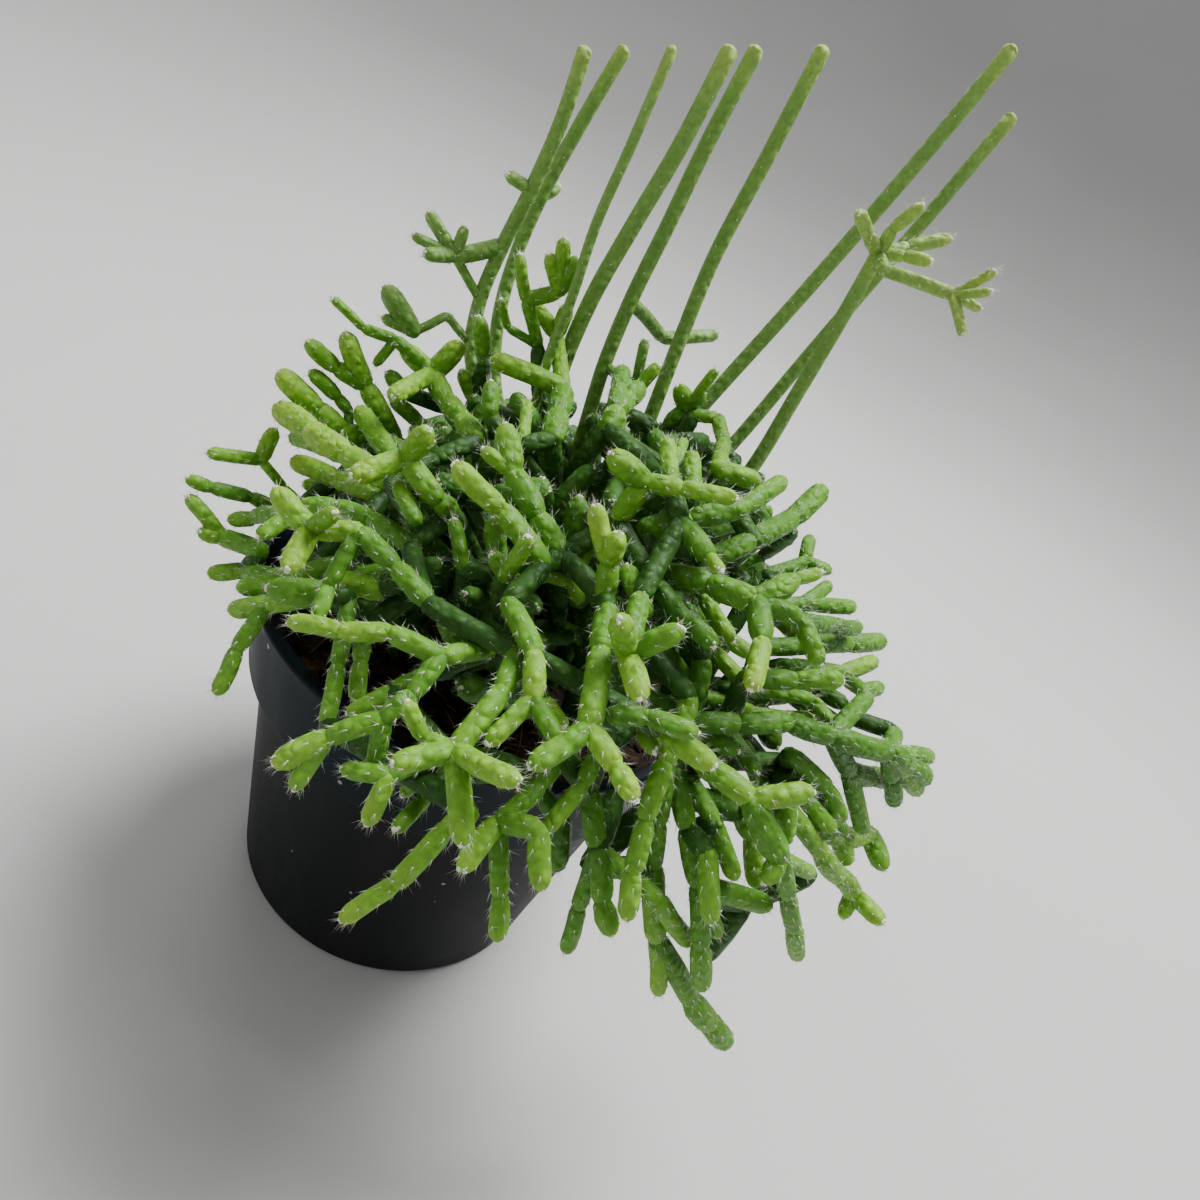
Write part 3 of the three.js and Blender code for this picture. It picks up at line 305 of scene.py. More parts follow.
RIGHT_SHOOTS = [
    [[22, 24], 0.98, 1.06, 645, 695, 692, 720, 740, 723, 790, 722, 832, 736, 888, 752, 923, 778],
    [18, 1.04, 1.02, 888, 752, 895, 732],
    [18, 1.04, 1.04, 888, 752, 928, 757],
    [18, 1.04, 1.02, 888, 752, 893, 802],
    [20, 1, 0.98, 832, 736, 850, 772, 886, 781],
    [18, 0.98, 0.98, 850, 772, 859, 832],
    [18, 1, 1, 832, 736, 868, 697],
    [22, 0.98, 1.08, 745, 677, 797, 681, 840, 680],
    [16, 0.93, 0.97, 790, 662, 842, 672, 862, 690, 879, 687],
    [19, 0.9, 0.96, 762, 652, 812, 650, 881, 641],
    [28, 0.98, 1.1, 655, 575, 710, 583, 757, 600],
    [[26, 22], 1.1, 1.2, 757, 600, 762, 640, 752, 687],
    [21, 1.1, 1.14, 757, 600, 802, 621, 819, 662],
    [25, 1.08, 1.12, 757, 600, 794, 580],
    [14, 1.12, 1.14, 794, 580, 820, 573],
    [16, 0.96, 0.98, 780, 605, 803, 603, 852, 607],
    [16, 1.02, 0.98, 802, 621, 857, 627],
    [14, 0.94, 0.97, 765, 575, 805, 562, 810, 538],
    [[25, 14], 1.02, 1.12, 680, 525, 709, 557, 720, 570],
    [[28, 19], 0.98, 1.06, 640, 530, 690, 520, 745, 507, 783, 481],
    [22, 0.88, 0.97, 705, 560, 752, 540, 793, 518, 822, 490],
    [22, 1, 1.08, 660, 584, 688, 624, 713, 644],
    [19, 0.9, 0.94, 689, 735, 728, 763],
    [18, 0.86, 0.92, 711, 728, 745, 780],
    [18, 0.82, 0.9, 745, 735, 767, 791],
    [18, 0.88, 0.96, 784, 762, 812, 802, 838, 834],
    [19, 0.8, 0.86, 694, 690, 745, 696, 790, 694],
]
TOP_SHOOTS = [
    [24, 0.98, 1.08, 620, 520, 645, 482],
    [28, 1.08, 1.14, 645, 482, 613, 456],
    [[20, 18], 1.08, 1.12, 645, 482, 682, 488, 734, 498],
    [18, 1.02, 1.04, 670, 484, 668, 442],
    [19, 1, 1, 694, 495, 692, 455],
    [[13, 20], 0.94, 1, 690, 412, 718, 418, 724, 441, 718, 470, 757, 482],
    [20, 0.9, 1, 672, 430, 690, 412, 679, 388],
    [11, 0.98, 1, 690, 412, 716, 371],
    [[28, 14], 0.95, 1.02, 608, 430, 616, 412, 638, 388, 658, 366],
    [[24, 16], 0.94, 1.02, 552, 440, 552, 385, 550, 335],
    [16, 1.02, 1.04, 550, 335, 532, 307],
    [17, 1.02, 1.04, 550, 335, 567, 307],
    [20, 1, 1.05, 552, 385, 495, 359],
    [13, -0.6, -0.8, 540, 345, 529, 300, 520, 256],
    [16, -0.7, -0.72, 529, 300, 560, 293, 550, 256],
    [16, -0.7, -0.72, 560, 293, 564, 241],
    [26, 0.96, 1.08, 560, 555, 537, 515, 512, 472, 505, 428],
    [24, 0.98, 1.14, 545, 565, 500, 508, 457, 466],
    [24, 0.98, 1.1, 604, 600, 609, 562, 618, 535],
    [21, 1.04, 1.12, 609, 562, 596, 507],
    [24, 0.94, 1.06, 452, 512, 437, 500, 405, 458],
    [25, 1.06, 1.12, 405, 458, 354, 476],
    [25, 1.06, 1.12, 405, 458, 427, 431],
    [26, 0.98, 1.06, 390, 480, 344, 453, 279, 412],
    [20, 0.88, 0.98, 385, 495, 337, 479, 295, 462],
    [20, 0.9, 0.95, 375, 450, 348, 436, 312, 411],
    [[10, 16], 0.95, 1, 348, 436, 347, 413, 333, 400, 305, 379],
    [25, 0.96, 1.03, 348, 436, 318, 408, 285, 371],
    [21, 0.9, 1, 395, 440, 362, 386, 346, 335],
    [19, 0.95, 0.98, 362, 386, 343, 365, 309, 343],
    [22, 0.92, 1.02, 478, 440, 446, 400, 432, 374],
    [[14, 10], 0.86, 0.98, 432, 374, 398, 342, 361, 329, 333, 299],
    [21, 1.02, 1.05, 432, 374, 402, 346],
    [22, 1.02, 1.06, 432, 374, 460, 345],
    [20, 1, 1.05, 432, 374, 393, 396],
]

# Finer shoots that the solids leave out
LATER_SHOOTS = [
    [18, 1.02, 1.08, 300, 508, 260, 535],
    [20, 1.14, 1.2, 311, 530, 334, 513],
    [24, 0.92, 0.97, 385, 600, 332, 591],
    [19, 0.9, 0.95, 345, 565, 300, 575],
    [18, 0.84, 0.88, 405, 585, 355, 574],
    [20, 1.12, 1.1, 383, 719, 373, 768],
    [18, 0.9, 0.94, 362, 625, 361, 662, 357, 700],
    [18, 1.2, 1.24, 457, 751, 426, 742, 407, 703],
    [16, 1.02, 1.05, 440, 765, 400, 797],
    [18, 1.08, 1.1, 548, 690, 563, 727],
    [19, 1, 1.06, 600, 750, 583, 785, 547, 829],
    [21, 1.08, 1.1, 610, 712, 648, 718, 690, 741],
    [20, 1.02, 1.06, 645, 712, 662, 748],
    [18, 1, 1.02, 698, 885, 717, 935],
    [22, 1.02, 1.05, 705, 850, 708, 918],
    [22, 1, 1.05, 790, 800, 786, 850],
    [18, 0.97, 1, 790, 755, 827, 790, 841, 820],
    [18, 0.97, 1, 800, 800, 832, 829],
    [16, 1, 1, 853, 894, 843, 916],
    [20, 0.98, 0.97, 845, 836, 846, 864],
    [18, 1.04, 1.03, 888, 752, 917, 790],
    [14, 0.88, 0.98, 742, 692, 812, 700, 835, 727],
    [17, 0.86, 0.92, 700, 700, 755, 707, 811, 718],
    [17, 0.97, 0.98, 842, 672, 874, 661],
    [14, 0.98, 0.97, 803, 603, 828, 585],
    [14, 0.97, 0.98, 805, 562, 829, 571],
    [22, 0.98, 1.06, 650, 605, 660, 584, 657, 556],
    [12, 0.98, 0.98, 675, 472, 686, 440],
    [18, 0.98, 1, 690, 412, 702, 396],
    [19, 0.95, 0.98, 616, 412, 622, 371],
    [16, -0.7, -0.72, 560, 293, 577, 259],
    [9, -0.6, -0.7, 540, 345, 508, 328, 501, 300],
    [16, 1.04, 1.08, 512, 472, 484, 450],
    [18, 0.98, 1.06, 512, 575, 531, 538],
    [16, 0.93, 0.98, 463, 568, 454, 521],
    [22, 0.9, 0.96, 500, 572, 493, 521],
    [20, 0.88, 0.95, 508, 600, 490, 557],
    [16, 0.9, 0.97, 580, 600, 567, 567, 549, 556],
    [15, 0.94, 0.98, 567, 567, 594, 528],
    [18, 0.96, 1.03, 420, 530, 400, 482],
    [18, 0.9, 0.95, 344, 453, 294, 438],
    [16, 0.85, 0.88, 345, 488, 306, 486],
    [20, 0.86, 0.93, 430, 458, 388, 436, 341, 431],
    [20, 0.92, 0.98, 392, 455, 368, 405],
    [10, 0.9, 0.92, 398, 342, 372, 366],
    [17, 0.9, 0.94, 402, 395, 388, 373],
    [18, 0.92, 0.97, 484, 362, 478, 319],
    [19, 0.95, 1.03, 482, 425, 491, 384],
    [18, 0.9, 0.94, 700, 598, 728, 642],
    [17, 0.87, 0.9, 706, 650, 742, 684],
    [16, 0.85, 0.88, 770, 612, 800, 640],
    [16, 0.86, 0.88, 447, 447, 420, 422, 391, 400],
    [15, 0.84, 0.86, 466, 436, 446, 408, 436, 384],
    [12, 0.96, 0.98, 522, 446, 527, 402],
    [15, 0.9, 0.92, 474, 400, 462, 372],
    [18, 0.88, 0.9, 676, 602, 706, 630],
    [17, 0.88, 0.9, 722, 636, 752, 654],
]

# The mound's outline in the picture, which the added branchlets keep inside. It dips in at the front
# left, where the soil shows.
MOUND_OUTLINE = [
    [285, 385], [345, 335], [440, 340], [550, 330], [650, 385], [730, 410], [770, 460], [830, 510],
    [850, 590], [880, 660], [870, 720], [915, 770], [875, 860], [800, 915], [700, 980], [645, 940],
    [560, 900], [480, 850], [420, 790], [395, 750], [455, 690], [440, 612], [330, 598], [240, 600],
    [225, 520],
]
# How green each group of shoots is, from 0, dark, to 1, young and lime, and how far a shoot varies. A low
# tone stands for old growth and, on pieces deep in the mound, for painted shade as well
GROUPS = [
    (LEFT_SHOOTS, 0.56), (FRONT_SHOOTS, 0.58), (HANGING_SHOOTS, 0.56), (RIGHT_SHOOTS, 0.41),
    (TOP_SHOOTS, 0.64),
]
LATER_TONE = 0.54
STEM_SHOOT_TONES = {"stem_1": 0.35, "stem_2": 0.35, "stem_5": 0.3, "stem_9": 0.7}
TONE_CHANGE = 0.12
TIP_TONE = 0.1
# The links and trunks lie inside the mound; their low tone is partly old growth and partly painted shade.
LINK_TONE = 0.12

# Joints whose branchlet is a fresh one, lighter than the rest
FRESH_ENDS = {
    (291, 622), (311, 530), (289, 568), (277, 491), (516, 780), (633, 797), (616, 768), (463, 868),
    (640, 696), (277, 763), (368, 822), (720, 570), (820, 573), (752, 687), (658, 366), (567, 307),
    (532, 307), (354, 476), (734, 498), (533, 699), (457, 466), (618, 535), (550, 335), (340, 631),
}
FRESH_TONE = 0.8


def unit(vectors):
    return vectors / np.linalg.norm(vectors, axis=-1, keepdims=True)


def between(start, end, share):
    return start * (1 - share) + end * share


VIEW_AHEAD = np.array([0, math.cos(VIEW_PITCH), -math.sin(VIEW_PITCH)])
VIEW_RIGHT = np.array([
    math.cos(VIEW_ROLL),
    math.sin(VIEW_ROLL) * math.sin(VIEW_PITCH),
    math.sin(VIEW_ROLL) * math.cos(VIEW_PITCH),
])
VIEW_UP = np.array([
    -math.sin(VIEW_ROLL),
    math.cos(VIEW_ROLL) * math.sin(VIEW_PITCH),
    math.cos(VIEW_ROLL) * math.cos(VIEW_PITCH),
])


def seeded_random(seed):
    state = seed

    def draw():
        nonlocal state
        state = state * RANDOM_FACTOR % RANDOM_RANGE
        return state / RANDOM_RANGE
    return draw


def ray_through(across, down):
    u = (across - PICTURE_WIDTH / 2) / VIEW_FOCAL
    v = (down - PICTURE_WIDTH / 2) / VIEW_FOCAL
    return unit(VIEW_AHEAD + VIEW_RIGHT * u - VIEW_UP * v)


def depth_of(place):
    return (place - VIEW_FROM) @ VIEW_AHEAD


def picture_of(place):
    seen = place - VIEW_FROM
    scale = VIEW_FOCAL / depth_of(place)
    return PICTURE_WIDTH / 2 + scale * (seen @ VIEW_RIGHT), PICTURE_WIDTH / 2 - scale * (seen @ VIEW_UP)


def place_at_level(across, down, level):
    """Where the line of sight meets the mound's shell at a level, or passes nearest to its middle."""
    ray = ray_through(across, down)
    start = (VIEW_FROM - MOUND_MIDDLE) / MOUND_RADII
    along = ray / MOUND_RADII
    nearest = -(start @ along) / (along @ along)
    miss = start + along * nearest
    half = math.sqrt(max(level * level - miss @ miss, 0) / (along @ along))
    return VIEW_FROM + ray * (nearest - math.copysign(half, level))


def place_at_depth(across, down, depth):
    ray = ray_through(across, down)
    return VIEW_FROM + ray * ((depth - VIEW_FROM[1]) / ray[1])


# The plant's skeleton: joints, and pieces that run between two joints
plant = SimpleNamespace(joints=[], pieces=[], named={}, tones=np.random.default_rng(11))


def add_joint(place, body=None, held=False, ray=None):
    plant.joints.append(SimpleNamespace(place=place, body=body, held=held, ray=ray))
    return len(plant.joints) - 1


def add_piece(first, last, radius, kind, tone, fine=True):
    plant.pieces.append(
        SimpleNamespace(
            first=first, last=last, radius=radius, kind=kind, tone=tone, fine=fine, solid=False))


def root_slots():
    """Root slots on a spiral over the soil, with the direction that each one leans in."""
    slots = []
    for index in range(SLOTS):
        share = math.sqrt((index + 0.5) / SLOTS)
        turn = index * GOLDEN_TURN
        lean = share * HUB_LEAN
        reach = SLOT_SPREAD * share
        place = (CROWN[0] + reach * math.cos(turn), CROWN[1] + reach * math.sin(turn))
        out = np.array([math.sin(lean) * math.cos(turn), math.sin(lean) * math.sin(turn), math.cos(lean)])
        slots.append(SimpleNamespace(place=place, out=out, taken=False))
    return slots


def plant_root(slot, body, radius, kind, tone):
    """The part of a stem that stands in its hole in the soil."""
    x, y = slot.place
    slot.taken = True
    foot = add_joint(np.array([x, y, SOIL_TOP - HOLE_DEPTH + GAP]), body, held=True)
    collar = add_joint(np.array([x, y, SOIL_TOP + COLLAR_RISE]), body, held=True)
    add_piece(foot, collar, radius, kind, tone)
    return collar


def grow_long_stems(slots):
    for body, (thickness, joints) in LONG_STEMS.items():
        free = [slot for slot in slots if not slot.taken]
        slot = min(free, key=lambda one: math.dist(one.place, LONG_STEM_ROOTS[body]))
        lower = plant_root(slot, body, thickness / 2, "stem", 0)
        for across, down, depth in reversed(joints):
            upper = add_joint(place_at_depth(across, down, depth), body, held=True)
            add_piece(lower, upper, thickness / 2, "stem", 0)
            plant.named[across, down] = upper
            lower = upper
    for body, rows in STEM_SHOOTS.items():
        for row in rows:
            grow_shoot(row, place_at_depth, STEM_SHOOT_TONES[body], body=body, held=True)


def grow_hubs(slots):
    """Each free slot gets a spray: a short trunk that leads from the soil to a hub."""
    sprays = []
    for slot in slots:
        if slot.taken:
            continue
        body = f"spray_{len(sprays) + 1}"
        collar = plant_root(slot, body, TRUNK_RADIUS, "link", LINK_TONE)
        hub = add_joint(CROWN + slot.out * HUB_REACH, body)
        add_piece(collar, hub, TRUNK_RADIUS, "link", LINK_TONE)
        sprays.append(SimpleNamespace(body=body, out=slot.out))
    return sprays


def grow_shoot(row, place_at, tone, body=None, held=False):
    """One shoot of the tables above. Its first joint may be another shoot's."""
    width, start, end, *numbers = row
    widths = width if isinstance(width, list) else [width, width]
    points = list(zip(numbers[::2], numbers[1::2]))
    tone += TONE_CHANGE * plant.tones.uniform(-1, 1)
    lower = None
    for index, point in enumerate(points):
        if index == 0 and point in plant.named:
            lower = plant.named[point]
            continue
        place = place_at(*point, start + (end - start) * index / (len(points) - 1))
        joint = add_joint(place, body, held, ray_through(*point))
        plant.named[point] = joint
        if index > 0:
            wide = widths[0] + (widths[1] - widths[0]) * (index - 1) / max(len(points) - 2, 1)
            radius = wide * depth_of(place) / (2 * VIEW_FOCAL)
            shade = FRESH_TONE if point in FRESH_ENDS else tone + TIP_TONE * (index == len(points) - 1)
            add_piece(lower, joint, radius, "branchlet", shade)
        lower = joint


def free_joints(body):
    """The joints of a body that its shoots may grow from."""
    return [index for index, joint in enumerate(plant.joints) if joint.body == body and not joint.held]


def grown_from(joint):
    """Joints reached from a joint along the pieces, itself among them."""
    reached = [joint]
    for one in reached:
        reached += [piece.last for piece in plant.pieces if piece.first == one]
    return reached


def join_loose_shoots(sprays):
    """Each loose shoot springs from a spray that leans its way, at the nearest joint nearer the crown."""
    ends = {piece.last for piece in plant.pieces}
    loose = [index for index, joint in enumerate(plant.joints) if joint.body is None and index not in ends]

    def reach(index):
        return math.dist(plant.joints[index].place, CROWN)
    loose.sort(key=lambda index: (reach(index), index))
    load = {spray.body: 0 for spray in sprays}
    for start in loose:
        way = unit(plant.joints[start].place - CROWN)
        spray = max(sprays, key=lambda one: one.out @ way - load[one.body] * LOAD_WEIGHT)

        def cost(index):
            gap = math.dist(plant.joints[index].place, plant.joints[start].place)
            return gap + INWARD_COST * max(0, reach(index) - reach(start) + INWARD_STEP)
        link_joints(min(free_joints(spray.body), key=cost), start)
        grown = grown_from(start)
        load[spray.body] += len(grown)
        for joint in grown:
            plant.joints[joint].body = spray.body


def link_joints(base, start):
    """Leads a spray from a joint to a loose shoot."""
    low, high = plant.joints[base].place, plant.joints[start].place
    span = math.dist(low, high)
    count = max(1, math.floor(span / LINK_LENGTH + 0.5))
    lower = base
    for index in range(1, count + 1):
        share = index / count
        arch = np.array([0, 0, LINK_ARCH * span * math.sin(math.pi * share)])
        upper = start
        if index < count:
            upper = add_joint(between(low, high, share) + arch, plant.joints[base].body)
        add_piece(lower, upper, LINK_RADIUS, "link", LINK_TONE)
        lower = upper


def row_dot(a, b):
    return np.sum(a * b, axis=-1)


def nearest_shares(a, b, c, d):
    """The nearest points of straight pieces, pair by pair, as their shares along the pieces."""
    u, v, w = b - a, d - c, a - c
    uu, vv, uv, uw, vw = row_dot(u, u), row_dot(v, v), row_dot(u, v), row_dot(u, w), row_dot(v, w)
    spread = uu * vv - uv * uv
    turned = spread > TINY
    s = np.where(turned, np.clip((uv * vw - vv * uw) / np.where(turned, spread, 1), 0, 1), 0.5)
    t = np.clip((uv * s + vw) / vv, 0, 1)
    s = np.clip((uv * t - uw) / uu, 0, 1)
    return s[..., None], t[..., None]


def out_of_pot(places, radii):
    """How far the middles of round pieces must move to stand clear of the pot and the soil."""
    keep = radii + CLEAR + POT_CLEAR
    out = np.hypot(places[:, 0], places[:, 1])
    inner = LIP_RADIUS - LIP_WIDTH - WALL
    shift = np.zeros_like(places)
    inside = out < inner - keep
    shift[inside, 2] = np.maximum(0, SOIL_TOP + SOIL_RELIEF + keep - places[:, 2])[inside]
    near = ~inside & (out <= LIP_RADIUS + keep) & (places[:, 2] <= POT_HEIGHT + keep)
    over = near & (places[:, 2] > POT_HEIGHT - RIM_REACH)
    shift[over, 2] = np.maximum(0, POT_HEIGHT + keep - places[:, 2])[over]
    beside = near & ~over
    target = np.where(out < LIP_RADIUS, inner - keep, LIP_RADIUS + keep)
    shift[beside, :2] = (places[:, :2] * ((target - out) / np.maximum(out, TINY))[:, None])[beside]
    return shift


def piece_arrays():
    first = np.array([piece.first for piece in plant.pieces])
    last = np.array([piece.last for piece in plant.pieces])
    radius = np.array([piece.radius for piece in plant.pieces])
    places = np.array([joint.place for joint in plant.joints])
    return first, last, radius, places


def free_pairs(first, last):
    """The pairs of pieces that don't share a joint."""
    one, two = np.triu_indices(len(first), 1)
    shared = (first[one] == first[two]) | (first[one] == last[two])
    shared |= (last[one] == first[two]) | (last[one] == last[two])
    return one[~shared], two[~shared]


def near_pairs(one, two, start, end, radius):
    """Those of the pairs that may lie closer than the clearance, and how much room each one lacks."""
    middle = between(start, end, 0.5)
    reach = np.linalg.norm(end - start, axis=1) / 2 + radius
    limit = reach[one] + reach[two] + CLEAR
    near = row_dot(middle[one] - middle[two], middle[one] - middle[two]) <= limit ** 2
    i, j = one[near], two[near]
    s, t = nearest_shares(start[i], end[i], start[j], end[j])
    apart = between(start[i], end[i], s) - between(start[j], end[j], t)
    gap = np.linalg.norm(apart, axis=1)
    return i, j, s, t, apart, gap, radius[i] + radius[j] + CLEAR - gap


def ease_apart(still):
    """Eases the pieces apart, a little in each round, until they stand clear of each other and of the pot.
    The joints that stand still are given as a list of true or false."""
    first, last, radius, places = piece_arrays()
    fixed = np.array(still)
    set_pieces = fixed[first] & fixed[last]
    one, two = free_pairs(first, last)
    moving = ~(set_pieces[one] & set_pieces[two])
    one, two = one[moving], two[moving]
    has_ray = np.array([joint.ray is not None for joint in plant.joints])
    rays = np.array([np.zeros(3) if joint.ray is None else joint.ray for joint in plant.joints])
    for _ in range(EASE_ROUNDS):
        start, end = places[first], places[last]
        i, j, s, t, apart, gap, missing = near_pairs(one, two, start, end, radius)
        close = (missing > 0) & (gap >= TINY)
        i, j, s, t, apart, gap, missing = (
            values[close] for values in (i, j, s, t, apart, gap, missing))
        share = np.where(set_pieces[i] | set_pieces[j], 1, 0.5)
        away = apart * (missing * share / gap)[:, None]
        pushes = [(first[i], away, 1 - s), (last[i], away, s), (first[j], -away, 1 - t), (last[j], -away, t)]
        loose = np.flatnonzero(~set_pieces)
        for test in POT_TESTS:
            shift = out_of_pot(between(start[loose], end[loose], test), radius[loose])
            hit = np.any(shift != 0, axis=1)
            weight = np.full((hit.sum(), 1), float(test))
            pushes.append((first[loose][hit], shift[hit], 1 - weight))
            pushes.append((last[loose][hit], shift[hit], weight))
        total, count = np.zeros_like(places), np.zeros((len(places), 1))
        for joints, shift, weight in pushes:
            np.add.at(total, joints, shift * weight)
            np.add.at(count, joints, weight)
        total[fixed] = 0
        shift = total / np.maximum(count, 1)
        along = rays * row_dot(rays, shift)[:, None]
        places += np.where(has_ray[:, None], along + (shift - along) * SIDE_EASE, shift)
    for joint, place in zip(plant.joints, places):
        joint.place = place


def thin_crowded():
    """Where two sprays still lie too close, the thicker piece gets thinner, so that every gap holds."""
    first, last, radius, places = piece_arrays()
    one, two = free_pairs(first, last)
    i, j, _, _, _, gaps, missing = near_pairs(one, two, places[first], places[last], radius)
    for a, b, gap in zip(i[missing > 0], j[missing > 0], gaps[missing > 0]):
        pair = plant.pieces[a], plant.pieces[b]
        excess = pair[0].radius + pair[1].radius + CLEAR - gap - THIN_SLACK
        if excess <= 0 or plant.joints[pair[0].last].body == plant.joints[pair[1].last].body:
            continue
        wider = pair[0] if pair[0].radius > pair[1].radius else pair[1]
        wider.radius = max(THINNEST, wider.radius - excess)


def inside_outline(x, y):
    inside = False
    for (x1, y1), (x2, y2) in zip(MOUND_OUTLINE, MOUND_OUTLINE[1:] + MOUND_OUTLINE[:1]):
        if (y1 > y) != (y2 > y) and x < x1 + (y - y1) * (x2 - x1) / (y2 - y1):
            inside = not inside
    return inside


def faces_viewer(tip):
    offset = (tip - MOUND_MIDDLE) / MOUND_RADII
    return offset @ ((VIEW_FROM - MOUND_MIDDLE) / MOUND_RADII) > FILL_FACING


def in_fill_zone(tip, rule):
    """The added branchlets keep inside the mound, and well inside where it faces the viewer."""
    offset = (tip - MOUND_MIDDLE) / MOUND_RADII
    limit = rule.near_level if faces_viewer(tip) else rule.far_level
    level = math.sqrt(offset @ offset)
    return rule.low_level < level < limit and inside_outline(*picture_of(tip))


def distances_to(place, start, end):
    share = np.clip(row_dot(place - start, end - start) / row_dot(end - start, end - start), 0, 1)
    return np.linalg.norm(between(start, end, share[:, None]) - place, axis=1)


def room_for(base, tip, radius, arrays, solids):
    """How far a new branchlet's tip stands from its nearest neighbour, or 0 where it has no room. A late
    one keeps within FILL_REACH of the solids' pieces, so that the mound keeps its form."""
    first, last, radii, places = arrays
    start = plant.joints[base].place
    tests = np.array(POT_TESTS[1:])[:, None]
    if np.any(out_of_pot(between(start, tip, tests), np.full(len(tests), radius))):
        return 0
    near = (first == base) | (last == base)
    low = np.where(near[:, None], between(start, tip, FILL_FREE_SHARE), start)
    c, d = places[first], places[last]
    s, t = nearest_shares(low, tip[None], c, d)
    gap = np.linalg.norm(between(low, tip[None], s) - between(c, d, t), axis=1)
    if np.any(gap <= radius + radii + CLEAR):
        return 0
    away = distances_to(tip, c, d)
    if len(solids) and np.min(away[solids]) > FILL_REACH:
        return 0
    return np.min(away[~near])


def fill_mound(sprays, rule, fine):
    """Adds branchlets where the mound is barest: of several that are drawn, the one with the most room."""
    random = seeded_random(rule.seed)
    bases = [joint for spray in sprays for joint in free_joints(spray.body)]

    def pick(low, high):
        return low + (high - low) * random()
    solids = np.flatnonzero([piece.solid for piece in plant.pieces])
    for _ in range(rule.count):
        arrays = piece_arrays()
        best = SimpleNamespace(room=0)
        for _ in range(rule.draws):
            base = bases[math.floor(random() * len(bases))]
            length = pick(*rule.length)
            radius = pick(*rule.radius)
            jitter = np.array([random() - 0.5, random() - 0.5, random() - 0.5])
            place = plant.joints[base].place
            out = unit((place - MOUND_MIDDLE) / MOUND_RADII)
            way = unit(out + np.array([0, 0, rule.lift]) + jitter * 2 * rule.spread)
            tip = place + way * length
            room = room_for(base, tip, radius, arrays, solids) if in_fill_zone(tip, rule) else 0
            if room > best.room:
                best = SimpleNamespace(base=base, tip=tip, radius=radius, room=room)
        if best.room == 0:
            continue
        bases.append(add_joint(best.tip, plant.joints[best.base].body))
        add_piece(best.base, bases[-1], best.radius, "branchlet", plant.tones.uniform(*rule.tone), fine)


def grow_later_shoots(sprays):
    """The finer shoots, round the joints that are there already, which stand still."""
    still = len(plant.joints)
    for body, rows in LATER_STEM_SHOOTS.items():
        for row in rows:
            grow_shoot(row, place_at_depth, STEM_SHOOT_TONES[body], body=body, held=True)
    for row in LATER_SHOOTS:
        grow_shoot(row, place_at_level, LATER_TONE)
    for piece in plant.pieces:
        if plant.joints[piece.last].body is None:
            plant.joints[piece.last].body = plant.joints[piece.first].body
    join_loose_shoots(sprays)
    ease_apart([joint.held or index < still for index, joint in enumerate(plant.joints)])
    thin_crowded()


def grow_plant():
    slots = root_slots()
    grow_long_stems(slots)
    sprays = grow_hubs(slots)
    for shoots, tone in GROUPS:
        for row in shoots:
            grow_shoot(row, place_at_level, tone)
    join_loose_shoots(sprays)
    ease_apart([joint.held for joint in plant.joints])
    thin_crowded()
    fill_mound(sprays, FIRST_FILL, True)
    for piece in plant.pieces:
        piece.solid = True
    grow_later_shoots(sprays)
    fill_mound(sprays, DENSE_FILL, False)


# Branchlets: their rounding in thicknesses, their relief and their bend, as shares
BRANCHLET_SIDES = 10
STEM_SIDES = 12
STEM_RINGS = 72
ROUND_LENGTH = 1.3
FOOT_SINK = 0.4
TIP_REACH = 0.35
JOINT_REACH = 0.3
RIBS = 5
RIB_HEIGHT = 0.035
RIB_TWIST = 1.1
BEND = 0.035
STEM_TAPER = 0.86

# How much a branchlet's tone grows along it, and where it is the piece's own
END_TONE = 0.12
EVEN_TONE = 0.55

# A long stem's tone at its foot, how much it grows to the top, and the last part's extra
STEM_TONE = 0.35
STEM_TOP_TONE = 0.15
STEM_TIP_TONE = 0.3
STEM_TIP_PARTS = 12
STEM_ROUTE_MARKS = 4 * STEM_RINGS
STEM_HAIR_MARKS = 400
STEM_GUIDE = np.array([0.0, 1.0, 0.2])

# Wool and bristles, where the areoles are
AREOLE_STEP = 0.58
PLAIN_AREOLE_STEP = 1.15
STEM_AREOLE_STEP = 2.3
FEWEST_AREOLES = 4
TIP_AREOLE_SPAN = (0.35, 1.5, 2.85)
JOINT_AREOLE_SPAN = (0.35, 1.5, 2.5)
SLOPE_STEP = 0.05
STEM_HAIR_TONE = 0.5
WOOL_RADIUS = 0.16
WOOL_HEIGHT = 0.12
WOOL_SINK = 0.05
BRISTLES = 4
PLAIN_BRISTLES = 2
BRISTLE_RADIUS = 0.029
BRISTLE_LENGTH = (0.7, 2.3)
BRISTLE_RISE = 0.5
BRISTLE_LEAN = (0.5, 1.4)
BRISTLE_SPREAD = 0.34
TIP_WOOLS = 6
TIP_WOOL_RADIUS = (0.28, 0.5)
TIP_BRISTLES = 13
TIP_BRISTLE_LENGTH = (0.9, 2.6)
TIP_SPREAD = 0.5
TIP_HAIR_RING = 0.4
TIP_HAIR_SINK = 0.2

HAIR_DRAWS = np.random.default_rng(29)
SHAPE_DRAWS = np.random.default_rng(53)
SOIL_DRAWS = np.random.default_rng(71)


def linear(hex_colour):
    """An sRGB hex colour as the linear values that shaders take."""
    values = [int(hex_colour[at:at + 2], 16) / 255 for at in (0, 2, 4)]
    return [v / 12.92 if v <= 0.04045 else ((v + 0.055) / 1.055) ** 2.4 for v in values] + [1]


